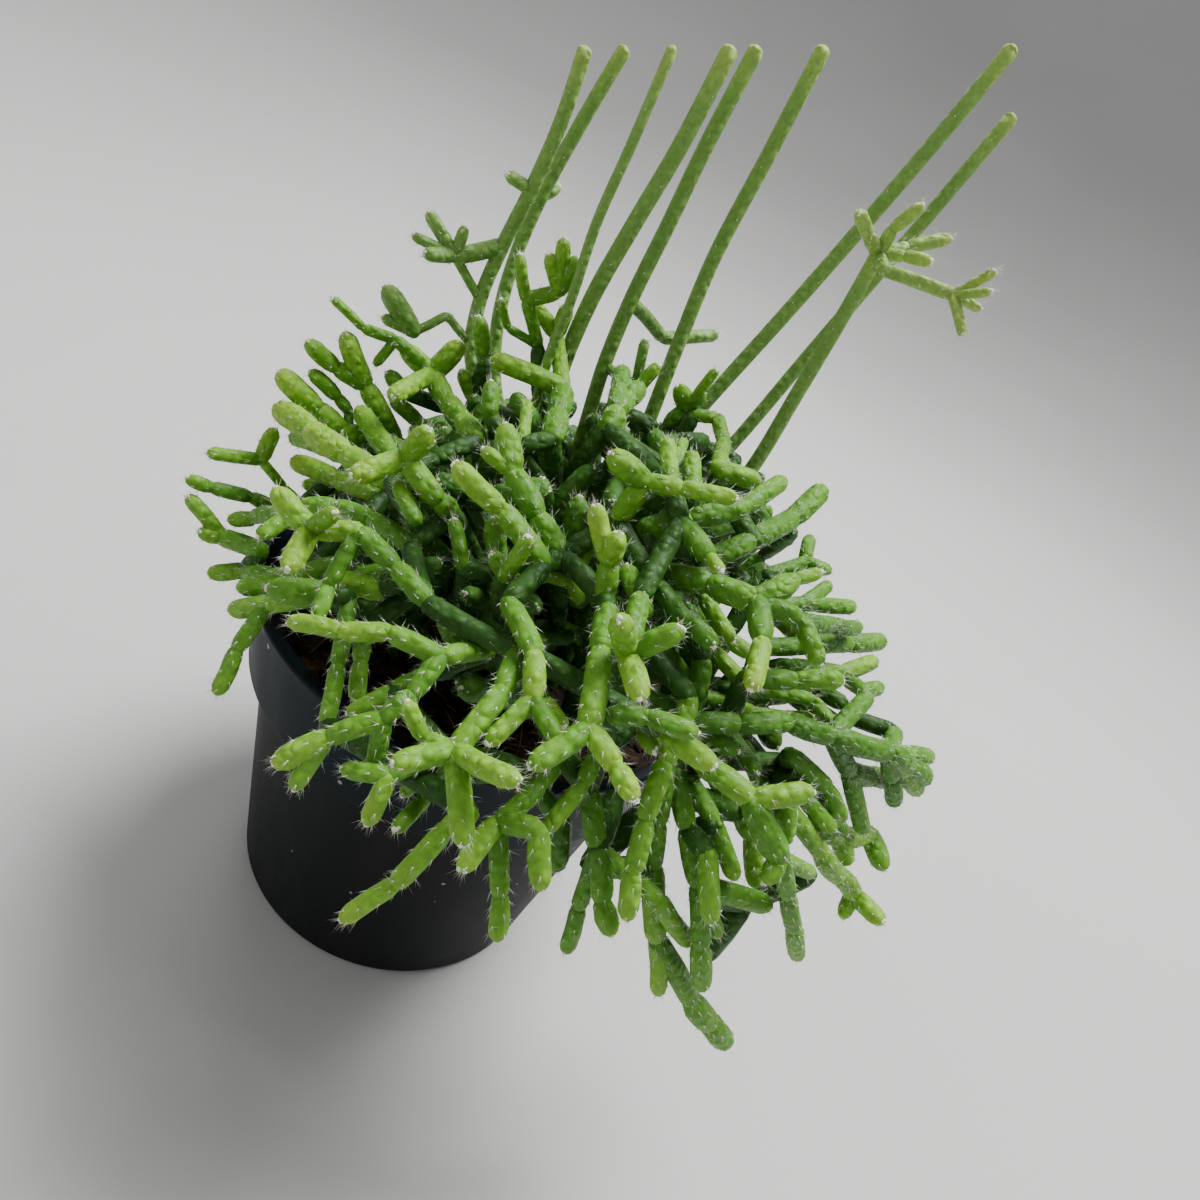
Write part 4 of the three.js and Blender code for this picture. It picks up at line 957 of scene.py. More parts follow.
def add_node(material, kind, links=None, stops=None, **settings):
    """Adds a node. Its inputs are given by name, each a value or another node's output, its settings by
    keyword, and a colour ramp's stops as pairs of place and hex colour."""
    node = material.node_tree.nodes.new(kind)
    for name, value in settings.items():
        setattr(node, name, value)
    for name, value in (links or {}).items():
        if isinstance(value, bpy.types.NodeSocket):
            material.node_tree.links.new(value, node.inputs[name])
        else:
            node.inputs[name].default_value = value
    for index, (place, colour) in enumerate(stops or []):
        elements = node.color_ramp.elements
        stop = elements[index] if index < 2 else elements.new(place)
        stop.position = place
        stop.color = linear(colour)
    return node


def new_material(name, **constants):
    """A material, its one shader and the place on the object. What is the same all over is set on the
    shader's own sockets."""
    material = bpy.data.materials.new(name)
    material.use_nodes = True
    shader = material.node_tree.nodes["Principled BSDF"]
    for socket, value in constants.items():
        shader.inputs[socket.replace("_", " ")].default_value = value
    return material, shader, add_node(material, "ShaderNodeTexCoord").outputs["Object"]


def link(material, output, socket):
    material.node_tree.links.new(output, socket)


def per_mm(size):
    """The scale that repeats a pattern once in a size in mm, on coordinates in metres."""
    return 1 / (size * MM)


def cactus_skin(name, stops):
    """Living cactus skin: a thin wax layer over soft green flesh. It gives a soft sheen, paler growth towards
    the tips, a fine mottling and low swellings, with painted light and shade: lighter on them, darker in the
    dips between."""
    material, shader, place = new_material(name, IOR=1.42, Specular_IOR_Level=0.32)
    tone = add_node(material, "ShaderNodeAttribute", attribute_name="tone").outputs["Fac"]
    mottle = add_node(material, "ShaderNodeTexNoise", {
        "Vector": place, "Scale": per_mm(7), "Detail": 4.0, "Roughness": 0.6}).outputs["Fac"]
    shift = add_node(material, "ShaderNodeMath", {0: mottle, 1: 0.3, 2: -0.15}, operation="MULTIPLY_ADD")
    shade = add_node(material, "ShaderNodeMath", {0: tone, 1: shift.outputs[0]}, operation="ADD")
    green = add_node(material, "ShaderNodeValToRGB", {"Fac": shade.outputs[0]}, stops)
    fine = add_node(material, "ShaderNodeTexNoise", {
        "Vector": place, "Scale": per_mm(0.9), "Detail": 2.0}).outputs["Fac"]
    light = add_node(material, "ShaderNodeMapRange", {
        "Value": fine, "From Min": 0.3, "From Max": 0.7, "To Min": 0.86, "To Max": 1.1})
    cells = add_node(material, "ShaderNodeTexVoronoi", {
        "Vector": place, "Scale": per_mm(2.2)}).outputs["Distance"]
    swelling = add_node(material, "ShaderNodeMapRange", {
        "Value": cells, "From Min": 0.05, "From Max": 0.7, "To Min": 1.0, "To Max": 0.0},
        interpolation_type="SMOOTHSTEP").outputs["Result"]
    # Painted light and shade: the colour is lighter on the swellings and darker in the dips between them.
    painted_dip_shade = add_node(material, "ShaderNodeMath", {0: swelling, 1: 0.2, 2: 0.9}, operation="MULTIPLY_ADD")
    mottle_and_painted_shade = add_node(material, "ShaderNodeMath", {
        0: light.outputs["Result"], 1: painted_dip_shade.outputs[0]}, operation="MULTIPLY")
    skin = add_node(material, "ShaderNodeHueSaturation", {
        "Color": green.outputs["Color"], "Value": mottle_and_painted_shade.outputs[0]})
    link(material, skin.outputs["Color"], shader.inputs["Base Color"])
    wax = add_node(material, "ShaderNodeMapRange", {
        "Value": mottle, "From Min": 0.3, "From Max": 0.7, "To Min": 0.46, "To Max": 0.62})
    link(material, wax.outputs["Result"], shader.inputs["Roughness"])
    low = add_node(material, "ShaderNodeBump", {
        "Height": swelling, "Strength": 0.8, "Distance": 0.55 * MM})
    bump = add_node(material, "ShaderNodeBump", {
        "Height": fine, "Strength": 0.35, "Distance": 0.12 * MM, "Normal": low.outputs["Normal"]})
    link(material, bump.outputs["Normal"], shader.inputs["Normal"])
    return material


def wool_hair():
    """Areole wool and fine bristles: dry white plant hair. It gives bright, matt specks and a pale fringe,
    cream in places.
    On pieces of low tone deep in the mound it turns grey-green: partly old hair, partly painted shade."""
    material, shader, place = new_material("areole_wool", Roughness=0.85, IOR=1.45)
    patch = add_node(material, "ShaderNodeTexNoise", {"Vector": place, "Scale": per_mm(9)}).outputs["Fac"]
    young = add_node(material, "ShaderNodeValToRGB", {"Fac": patch}, [
        (0.35, "f1f1e6"), (0.7, "e6e0c4"), (0.55, "eeecdd")]).outputs["Color"]
    tone = add_node(material, "ShaderNodeAttribute", attribute_name="tone").outputs["Fac"]
    # Low tones turn the hair grey-green: partly old hair, partly painted shade inside the mound.
    hair_age_and_shade = add_node(material, "ShaderNodeMapRange", {"Value": tone, "From Min": 0.1, "From Max": 0.55})
    colour = add_node(material, "ShaderNodeMix", {
        "Factor": hair_age_and_shade.outputs["Result"], 6: linear("8f9c7c"), 7: young}, data_type="RGBA")
    link(material, colour.outputs[2], shader.inputs["Base Color"])
    return material


def pot_plastic():
    """Thermoformed black polypropylene: a satin skin with a faint teal cast on the band, a thin grey film of
    dust, and pale specks of dried water and grit."""
    material, shader, place = new_material("black_polypropylene", IOR=1.49, Specular_IOR_Level=0.17)
    height = add_node(material, "ShaderNodeSeparateXYZ", {"Vector": place}).outputs["Z"]
    band = add_node(material, "ShaderNodeMapRange", {
        "Value": height, "From Min": (POT_HEIGHT - BAND_HEIGHT) * MM,
        "From Max": (POT_HEIGHT - BAND_HEIGHT + 3) * MM}).outputs["Result"]
    body = add_node(material, "ShaderNodeMix", {
        "Factor": band, 6: linear("131417"), 7: linear("05151b")}, data_type="RGBA").outputs[2]
    smear = add_node(material, "ShaderNodeMapping", {"Vector": place, "Scale": (1, 1, 0.25)})
    film = add_node(material, "ShaderNodeTexNoise", {
        "Vector": smear.outputs[0], "Scale": per_mm(22), "Detail": 6.0, "Roughness": 0.62}).outputs["Fac"]
    dusty = add_node(material, "ShaderNodeMapRange", {
        "Value": film, "From Min": 0.5, "From Max": 0.8, "To Max": 0.12}).outputs["Result"]
    dust = add_node(material, "ShaderNodeMix", {
        "Factor": dusty, 6: body, 7: linear("5b5550")}, data_type="RGBA").outputs[2]
    cells = add_node(material, "ShaderNodeTexVoronoi", {"Vector": place, "Scale": per_mm(9)})
    near = add_node(material, "ShaderNodeMath", {
        0: cells.outputs["Distance"], 1: 0.07}, operation="LESS_THAN")
    some = add_node(material, "ShaderNodeSeparateXYZ", {"Vector": cells.outputs["Color"]}).outputs["X"]
    rare = add_node(material, "ShaderNodeMath", {0: some, 1: 0.3}, operation="LESS_THAN")
    speck = add_node(material, "ShaderNodeMath", {
        0: near.outputs[0], 1: rare.outputs[0]}, operation="MULTIPLY")
    final = add_node(material, "ShaderNodeMix", {
        "Factor": speck.outputs[0], 6: dust, 7: linear("8d8b85")}, data_type="RGBA").outputs[2]
    link(material, final, shader.inputs["Base Color"])
    gloss = add_node(material, "ShaderNodeMapRange", {
        "Value": film, "From Min": 0.35, "From Max": 0.75, "To Min": 0.5, "To Max": 0.7})
    link(material, gloss.outputs["Result"], shader.inputs["Roughness"])
    grain = add_node(material, "ShaderNodeTexNoise", {"Vector": place, "Scale": per_mm(0.8), "Detail": 2.0})
    bump = add_node(material, "ShaderNodeBump", {
        "Height": grain.outputs["Fac"], "Strength": 0.12, "Distance": 0.1 * MM})
    link(material, bump.outputs["Normal"], shader.inputs["Normal"])
    return material


def peat():
    """Damp peat mix: matt, with fibres and orange-brown lumps of fresh peat. Its gaps are near black: the
    peat's own dark brown, deepened by painted shade.
    """
    material, shader, place = new_material("peat_mix", Roughness=0.95, IOR=1.4, Specular_IOR_Level=0.3)
    lumps = add_node(material, "ShaderNodeTexNoise", {
        "Vector": place, "Scale": per_mm(5), "Detail": 8.0, "Roughness": 0.7}).outputs["Fac"]
    # The same noise gives the relief: its low gaps are near black, partly damp peat and partly painted shade.
    colour = add_node(material, "ShaderNodeValToRGB", {"Fac": lumps}, [
        (0.38, "0f0b09"), (0.72, "80552f"), (0.52, "231a14"), (0.62, "40301f")])
    link(material, colour.outputs["Color"], shader.inputs["Base Color"])
    bump = add_node(material, "ShaderNodeBump", {
        "Height": lumps, "Strength": 0.9, "Distance": 0.7 * MM})
    link(material, bump.outputs["Normal"], shader.inputs["Normal"])
    return material


def dry_fibre():
    """Dry root and coir fibre: thin straw-brown threads that catch the light against the dark peat."""
    material, shader, place = new_material("coir_fibre", Roughness=0.8)
    patch = add_node(material, "ShaderNodeTexNoise", {"Vector": place, "Scale": per_mm(12)}).outputs["Fac"]
    colour = add_node(material, "ShaderNodeValToRGB", {"Fac": patch}, [
        (0.35, "3b2819"), (0.65, "8a6238")])
    link(material, colour.outputs["Color"], shader.inputs["Base Color"])
    return material


def pine_bark():
    """A flake of pine bark: matt red-brown cork in thin plates."""
    material, shader, place = new_material("pine_bark", Roughness=0.88)
    plates = add_node(material, "ShaderNodeTexVoronoi", {
        "Vector": place, "Scale": per_mm(2.2)}).outputs["Distance"]
    colour = add_node(material, "ShaderNodeValToRGB", {"Fac": plates}, [
        (0.1, "8a4a30"), (0.8, "3d2016"), (0.45, "6b3a26")])
    link(material, colour.outputs["Color"], shader.inputs["Base Color"])
    bump = add_node(material, "ShaderNodeBump", {
        "Height": plates, "Strength": 0.8, "Distance": 0.4 * MM})
    link(material, bump.outputs["Normal"], shader.inputs["Normal"])
    return material


def backdrop_paint():
    """Matt studio paint: a plain pale floor with next to no sheen."""
    material, shader, place = new_material("matt_paint", Roughness=0.95, Specular_IOR_Level=0.15)
    patch = add_node(material, "ShaderNodeTexNoise", {"Vector": place, "Scale": 3.0}).outputs["Fac"]
    colour = add_node(material, "ShaderNodeValToRGB", {"Fac": patch}, [(0.3, "c6c6c4"), (0.7, "cacac8")])
    link(material, colour.outputs["Color"], shader.inputs["Base Color"])
    return material


def turned(profile, steps):
    """A closed shape, turned round +Z from pairs of distance out and height."""
    bm = bmesh.new()
    corners = [bm.verts.new((out, 0, height)) for out, height in profile]
    edges = [bm.edges.new(pair) for pair in zip(corners, corners[1:])]
    bmesh.ops.spin(
        bm, geom=corners + edges, axis=(0, 0, 1), cent=(0, 0, 0), steps=steps, angle=2 * math.pi,
        use_merge=True)
    bmesh.ops.remove_doubles(bm, verts=bm.verts, dist=1e-4)
    bmesh.ops.recalc_face_normals(bm, faces=bm.faces)
    return bm


def put_in_scene(name, data):
    """A new object in the scene, which shows a mesh, a light or a camera."""
    new = bpy.data.objects.new(name, data)
    bpy.context.scene.collection.objects.link(new)
    return new


def smooth_object(name, mesh, material):
    """A mesh in the scene with one material and smooth shading."""
    mesh.name = name
    mesh.materials.clear()
    mesh.materials.append(material)
    mesh.polygons.foreach_set("use_smooth", [True] * len(mesh.polygons))
    return put_in_scene(name, mesh)


def finish_piece(name, mesh, material, node=None):
    """Puts a mesh in the scene as a piece of the object, and lets it stand for a CAD node."""
    piece = smooth_object(name, mesh, material)
    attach(piece, "root")
    if node:
        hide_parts(node)


def mesh_from(bm):
    mesh = bpy.data.meshes.new("shape")
    bm.to_mesh(mesh)
    bm.free()
    return mesh


def pattern_of(bm):
    """The corners and triangles of a small shape, for many copies of it."""
    bmesh.ops.triangulate(bm, faces=bm.faces)
    bm.verts.index_update()
    corners = np.array([corner.co for corner in bm.verts])
    triangles = np.array([[corner.index for corner in face.verts] for face in bm.faces])
    bm.free()
    return SimpleNamespace(corners=corners, triangles=triangles)


def mesh_of_copies(groups, with_tone):
    """One mesh from groups of copies: the places of each copy's corners, its pattern, and its tones."""
    places = np.concatenate([corners.reshape(-1, 3) for corners, _, _ in groups]) * MM
    triangles, start = [], 0
    for corners, pattern, _ in groups:
        count, size = corners.shape[:2]
        offsets = start + size * np.arange(count)
        triangles.append((pattern.triangles[None] + offsets[:, None, None]).reshape(-1, 3))
        start += count * size
    triangles = np.concatenate(triangles)
    mesh = bpy.data.meshes.new("copies")
    mesh.vertices.add(len(places))
    mesh.vertices.foreach_set("co", places.astype(np.float32).ravel())
    mesh.loops.add(triangles.size)
    mesh.loops.foreach_set("vertex_index", triangles.astype(np.int32).ravel())
    mesh.polygons.add(len(triangles))
    mesh.polygons.foreach_set("loop_start", np.arange(0, triangles.size, 3, dtype=np.int32))
    mesh.update(calc_edges=True)
    if with_tone:
        tone = mesh.attributes.new("tone", "FLOAT", "POINT")
        tone.data.foreach_set("value", np.concatenate([t.ravel() for _, _, t in groups]).astype(np.float32))
    return mesh


# Outlines of a branchlet: pairs of thickness and height. Heights 0 to 1 are its foot, 1 to 2 its middle and
# 2 to 3 its end, so that the rounding keeps its length on every branchlet.
FOOT_OUTLINE = [(0, 0), (0.5, 0), (0.84, 0.4), (1, 1)]
MIDDLE_OUTLINE = [(1.02, 1.5), (1, 2)]
TIP_OUTLINE = [(0.9, 2.4), (0.66, 2.76), (0.34, 2.95), (0, 3)]
JOINT_OUTLINE = [(0.88, 2.45), (0.58, 2.95), (0, 3)]


def branchlet_pattern(end_outline):
    """A straight branchlet with slight ribs that wind round it."""
    outline = FOOT_OUTLINE + MIDDLE_OUTLINE + end_outline
    bm = turned(outline, BRANCHLET_SIDES)
    for corner in bm.verts:
        x, y, height = corner.co
        ridge = 1 + RIB_HEIGHT * math.cos(RIBS * (math.atan2(y, x) - RIB_TWIST * height))
        corner.co = (x * ridge, y * ridge, height)
    pattern = pattern_of(bm)
    pattern.outline = np.array(outline)
    return pattern


def heights_along(heights, lengths, radii, end_reach):
    """Where an outline's heights lie along branchlets, in mm from their first joint."""
    rounding = ROUND_LENGTH * radii
    low = -FOOT_SINK * radii
    high = lengths + end_reach * radii
    foot = low + np.clip(heights, 0, 1) * rounding
    middle = np.clip(heights - 1, 0, 1) * (high - low - 2 * rounding)
    end = np.clip(heights - 2, 0, 1) * rounding
    return foot + middle + end


def curve_points(pieces, along):
    """Places, directions and side frames at distances along each piece's slight curve."""
    start = np.array([plant.joints[piece.first].place for piece in pieces])[:, None]
    end = np.array([plant.joints[piece.last].place for piece in pieces])[:, None]
    bends = np.array([piece.bend for piece in pieces])[:, None]
    span = np.linalg.norm(end - start, axis=-1, keepdims=True)
    share = along[..., None] / span
    place = between(start, end, share) + bends * 4 * share * (1 - share)
    way = unit(end - start + bends * 4 * (1 - 2 * share))
    level = np.abs(way[:, :1, 2:]) < 0.9
    guide = np.where(level, np.array([0, 0, 1]), np.array([1, 0, 0]))
    side = unit(guide - way * row_dot(way, guide)[..., None])
    return place, way, side, np.cross(way, side)


def bent_branchlets(pieces, pattern, end_reach):
    """Copies of a branchlet pattern along the pieces, with their tones."""
    radii = np.array([piece.radius for piece in pieces])[:, None]
    lengths = np.array([piece.length for piece in pieces])[:, None]
    turn = np.array([piece.turn for piece in pieces])[:, None]
    corners = pattern.corners
    along = heights_along(corners[None, :, 2], lengths, radii, end_reach)
    place, _, side, other = curve_points(pieces, along)
    across = (corners[:, 0] * np.cos(turn) - corners[:, 1] * np.sin(turn)) * radii
    beside = (corners[:, 0] * np.sin(turn) + corners[:, 1] * np.cos(turn)) * radii
    places = place + side * across[..., None] + other * beside[..., None]
    tones = np.array([piece.tone for piece in pieces])[:, None]
    return places, pattern, tones + END_TONE * (along / lengths - EVEN_TONE)


def part_long_pieces():
    """A link is a row of branchlets too, and so is a branchlet that is longer than they grow."""
    for piece in [piece for piece in plant.pieces if piece.kind != "stem"]:
        low, high = plant.joints[piece.first], plant.joints[piece.last]
        span = math.dist(low.place, high.place)
        usual = LINK_PART if piece.kind == "link" else LONGEST
        count = max(1, round(span / usual) if piece.kind == "link" else math.ceil(span / usual))
        lower = piece.first
        for index in range(1, count):
            upper = add_joint(between(low.place, high.place, index / count), high.body)
            fine = piece.fine and piece.kind != "link"
            add_piece(lower, upper, piece.radius, "branchlet", piece.tone, fine)
            lower = upper
        piece.first = lower
        if piece.kind == "link":
            piece.kind, piece.fine = "branchlet", False


def set_piece_draws():
    """Each piece's own bend, turn and length, drawn in the pieces' order."""
    for piece in plant.pieces:
        start, end = plant.joints[piece.first].place, plant.joints[piece.last].place
        piece.length = math.dist(start, end)
        away = np.cross(end - start, SHAPE_DRAWS.normal(size=3))
        share = BEND * SHAPE_DRAWS.uniform(0.2, 1) if piece.kind == "branchlet" else 0
        piece.bend = unit(away) * piece.length * share
        piece.turn = SHAPE_DRAWS.uniform(0, 2 * math.pi)


def areoles_on(pieces, pattern, end_reach, step, is_tip):
    """Places, outward and lengthwise directions and tones of the areoles, which wind up each piece."""
    places, outs, ways, tones = [], [], [], []
    for piece in pieces:
        count = max(FEWEST_AREOLES, round((piece.length + end_reach * piece.radius) / step))
        span = TIP_AREOLE_SPAN if is_tip else JOINT_AREOLE_SPAN
        heights = np.interp((np.arange(count) + 0.5) / count, [0, 0.5, 1], span)
        radii, lengths = np.array([[piece.radius]]), np.array([[piece.length]])
        along = heights_along(heights[None], lengths, radii, end_reach)
        place, way, side, other = curve_points([piece], along)
        thick = np.interp(heights, pattern.outline[:, 1], pattern.outline[:, 0]) * piece.radius
        later = np.interp(heights + SLOPE_STEP, pattern.outline[:, 1], pattern.outline[:, 0]) * piece.radius
        ahead = heights_along(heights[None] + SLOPE_STEP, lengths, radii, end_reach)
        slope = ((later - thick) / (ahead[0] - along[0]))[:, None]
        turn = (piece.turn + GOLDEN_TURN * np.arange(count))[:, None]
        radial = side[0] * np.cos(turn) + other[0] * np.sin(turn)
        places.append(place[0] + radial * thick[:, None])
        outs.append(unit(radial - way[0] * slope))
        ways.append(way[0])
        tones.append(np.full(count, piece.tone))
    return tuple(np.concatenate(values) for values in (places, outs, ways, tones))


def upright_copies(pattern, places, ways, radii, lengths, tones=0):
    """Copies of a pattern that stand at places, along directions, so wide and so long."""
    guide = np.where(np.abs(ways[:, 2:]) < 0.9, np.array([0, 0, 1]), np.array([1, 0, 0]))
    side = unit(np.cross(ways, guide))
    other = np.cross(ways, side)
    x, y, z = (pattern.corners[None, :, axis, None] for axis in range(3))
    spread = (side[:, None] * x + other[:, None] * y) * radii[:, None, None]
    corners = places[:, None] + spread + ways[:, None] * z * lengths[:, None, None]
    return corners, pattern, np.broadcast_to(np.reshape(tones, (-1, 1)), corners.shape[:2])


def wool_pattern():
    """A low tuft of wool."""
    return pattern_of(turned([(0, 0), (1, 0), (0.72, 0.65), (0, 1)], 5))


def bristle_pattern():
    bm = bmesh.new()
    bmesh.ops.create_cone(
        bm, cap_ends=True, segments=3, radius1=1, radius2=0, depth=1,
        matrix=Matrix.Translation((0, 0, 0.5)))
    return pattern_of(bm)


def areole_hair(patterns, places, outs, ways, tones, bristles):
    """A tuft of wool on each areole, and bristles that lean forward out of it."""
    count = len(places)
    wide = WOOL_RADIUS * HAIR_DRAWS.uniform(0.7, 1.2, count)
    high = WOOL_HEIGHT * HAIR_DRAWS.uniform(0.8, 1.3, count)
    groups = [upright_copies(patterns.wool, places - outs * WOOL_SINK, outs, wide, high, tones)]
    for _ in range(bristles):
        lean = outs * BRISTLE_RISE + ways * HAIR_DRAWS.uniform(*BRISTLE_LEAN, (count, 1))
        lean = unit(lean + HAIR_DRAWS.normal(size=(count, 3)) * BRISTLE_SPREAD)
        long = HAIR_DRAWS.uniform(*BRISTLE_LENGTH, count)
        groups.append(upright_copies(
            patterns.bristle, places, lean, np.full(count, BRISTLE_RADIUS), long, tones))
    return groups


def tip_hair(patterns, pieces):
    """The woolly tuft at each growing tip, with its fan of bristles."""
    count = len(pieces)
    radii = np.array([piece.radius for piece in pieces])[:, None]
    tones = [piece.tone + TIP_TONE for piece in pieces]
    ends = np.array([[piece.length] for piece in pieces]) + TIP_REACH * radii
    place, way, _, _ = curve_points(pieces, ends)
    place, way = place[:, 0], way[:, 0]
    groups = []
    for index in range(TIP_WOOLS + TIP_BRISTLES):
        lean = unit(way + HAIR_DRAWS.normal(size=way.shape) * TIP_SPREAD)
        near = place + (lean - way) * radii * TIP_HAIR_RING - way * TIP_HAIR_SINK
        if index < TIP_WOOLS:
            wide = HAIR_DRAWS.uniform(*TIP_WOOL_RADIUS, count)
            groups.append(upright_copies(patterns.wool, near, lean, wide, wide * 1.2, tones))
        else:
            long = HAIR_DRAWS.uniform(*TIP_BRISTLE_LENGTH, count)
            groups.append(upright_copies(
                patterns.bristle, near, lean, np.full(count, BRISTLE_RADIUS), long, tones))
    return groups


def smooth_route(points, count):
    """Places along a smooth curve through points, evenly spread."""
    points = np.array(points)
    steps = np.linalg.norm(np.diff(points, axis=0), axis=1)
    marks = np.concatenate([[0], np.cumsum(steps)])
    slopes = np.gradient(points, marks, axis=0)
    wanted = np.linspace(0, marks[-1], count)
    index = np.clip(np.searchsorted(marks, wanted) - 1, 0, len(points) - 2)
    low, high = marks[index], marks[index + 1]
    t = ((wanted - low) / (high - low))[:, None]
    reach = (high - low)[:, None]
    return ((1 + 2 * t) * (1 - t) ** 2 * points[index] + t * (1 - t) ** 2 * reach * slopes[index]
            + t * t * (3 - 2 * t) * points[index + 1] + t * t * (t - 1) * reach * slopes[index + 1])


def stem_pattern():
    rings = [(1, height) for height in np.linspace(0, 1, STEM_RINGS)]
    return pattern_of(turned([(0, 0), *rings, (0.75, 1.006), (0.4, 1.01), (0, 1.012)], STEM_SIDES))


def stem_route(joints, count):
    """A smooth route through a stem's joints, and its length."""
    route = smooth_route([plant.joints[joint].place for joint in joints], count)
    return route, np.linalg.norm(np.diff(route, axis=0), axis=1).sum()


def along_route(route, shares):
    """Places, directions and side directions at shares of a route."""
    marks = np.linspace(0, 1, len(route))
    place, slope = (
        np.stack([np.interp(shares, marks, values[:, axis]) for axis in range(3)], axis=1)
        for values in (route, np.gradient(route, axis=0)))
    way = unit(slope)
    return place, way, unit(np.cross(way, STEM_GUIDE))


def stem_radii(pieces, shares):
    """A stem gets a little thinner towards its tip."""
    return pieces[0].radius * (1 - (1 - STEM_TAPER) * shares[:, None])


def long_stem(pieces, pattern):
    """One long stem, smooth from its root to its tip."""
    route, span = stem_route([pieces[0].first] + [piece.last for piece in pieces], STEM_ROUTE_MARKS)
    heights = pattern.corners[:, 2]
    place, way, side = along_route(route, heights)
    place += way * (np.maximum(heights - 1, 0) * span)[:, None] * 0.5
    spread = side * pattern.corners[:, :1] + np.cross(way, side) * pattern.corners[:, 1:2]
    tip = np.clip(heights * STEM_TIP_PARTS - STEM_TIP_PARTS + 1, 0, 1)
    tones = (STEM_TONE + STEM_TOP_TONE * heights + STEM_TIP_TONE * tip)[None]
    return (place + spread * stem_radii(pieces, heights))[None], pattern, tones


def stem_areoles(pieces):
    """Small areoles on a long stem, far apart."""
    route, span = stem_route([piece.last for piece in pieces], STEM_HAIR_MARKS)
    count = round(span / STEM_AREOLE_STEP)
    shares = (np.arange(count) + 0.5) / count
    place, way, side = along_route(route, shares)
    turn = (GOLDEN_TURN * np.arange(count))[:, None]
    out = side * np.cos(turn) + np.cross(way, side) * np.sin(turn)
    return place + out * stem_radii(pieces, shares), out, way, np.full(count, STEM_HAIR_TONE)


def dress_plant(skins, wool):
    """Each stem and spray: its flesh, which stands for the CAD node, and the hair on it."""
    patterns = SimpleNamespace(
        tip=branchlet_pattern(TIP_OUTLINE), joint=branchlet_pattern(JOINT_OUTLINE), stem=stem_pattern(),
        wool=wool_pattern(), bristle=bristle_pattern())
    going_on = {piece.first for piece in plant.pieces}
    for body in dict.fromkeys(joint.body for joint in plant.joints):
        own = [piece for piece in plant.pieces if plant.joints[piece.last].body == body]
        kind = "stem" if body.startswith("stem") else "spray"
        flesh, hair = [], []
        stem = [piece for piece in own if piece.kind == "stem"]
        if stem:
            flesh.append(long_stem(stem, patterns.stem))
            hair += areole_hair(patterns, *stem_areoles(stem), 1)
        for is_tip in (False, True):
            reach = TIP_REACH if is_tip else JOINT_REACH
            pattern = patterns.tip if is_tip else patterns.joint
            some = [piece for piece in own if piece.kind != "stem" and (piece.last not in going_on) == is_tip]
            if not some:
                continue
            flesh.append(bent_branchlets(some, pattern, reach))
            for fine, step, bristles in ((True, AREOLE_STEP, BRISTLES),
                                         (False, PLAIN_AREOLE_STEP, PLAIN_BRISTLES)):
                haired = [piece for piece in some if piece.kind == "branchlet" and piece.fine == fine]
                if haired:
                    areoles = areoles_on(haired, pattern, reach, step, is_tip)
                    hair += areole_hair(patterns, *areoles, bristles)
            if is_tip:
                hair += tip_hair(patterns, some)
        finish_piece(f"{body}_flesh", mesh_of_copies(flesh, True), skins[kind], body)
        finish_piece(f"{body}_hair", mesh_of_copies(hair, True), wool, None)


def arc(middle, radius, first, last, steps):
    """Points of an arc, from one angle to another in degrees."""
    angles = [math.radians(first + (last - first) * step / steps) for step in range(steps + 1)]
    return [(middle[0] + radius * math.cos(a), middle[1] + radius * math.sin(a)) for a in angles]


def stretch(start, end, steps):
    """Points from one place to another, without the last."""
    return [tuple(between(np.array(start), np.array(end), step / steps)) for step in range(steps)]


def pot_outline():
    """The pot's outline, from the middle of its underside out, up its side, over the lip and down inside."""
    band_bottom = POT_HEIGHT - BAND_HEIGHT
    lip = (LIP_RADIUS - LIP_ROLL, POT_HEIGHT - LIP_ROLL)
    inner_lip = (LIP_RADIUS - LIP_WIDTH + LIP_ROLL / 2, POT_HEIGHT - LIP_ROLL / 2)
    return [
        *stretch((0, 0), (BASE_RADIUS - BASE_EDGE, 0), 6),
        *arc((BASE_RADIUS - BASE_EDGE, BASE_EDGE), BASE_EDGE, -90, 0, 5),
        *stretch((BASE_RADIUS + 0.06, BASE_EDGE + 0.5), (BODY_TOP_RADIUS, band_bottom - 0.4), 16),
        (BODY_TOP_RADIUS, band_bottom - 0.4),
        (BODY_TOP_RADIUS + 0.4, band_bottom),
        (BAND_BOTTOM_RADIUS - 0.7, band_bottom + 0.1),
        (BAND_BOTTOM_RADIUS - 0.15, band_bottom + 0.35),
        (BAND_BOTTOM_RADIUS + 0.05, band_bottom + 1),
        *stretch((BAND_BOTTOM_RADIUS + 0.2, band_bottom + 2), (LIP_RADIUS - 0.5, POT_HEIGHT - 3.4), 7),
        (LIP_RADIUS - 0.42, POT_HEIGHT - 2.4),
        *arc(lip, LIP_ROLL, -25, 90, 6),
        *arc(inner_lip, LIP_ROLL / 2, 90, 200, 4),
        *stretch((LIP_RADIUS - LIP_WIDTH - LEDGE_RISE, POT_HEIGHT - 1.8),
                 (BAND_BOTTOM_RADIUS - BAND_WALL, band_bottom + BAND_STEP), 6),
        (BAND_BOTTOM_RADIUS - BAND_WALL, band_bottom + BAND_STEP),
        (BODY_TOP_RADIUS - WALL, band_bottom),
        (BASE_RADIUS - WALL, FLOOR),
        (0, FLOOR),
    ]


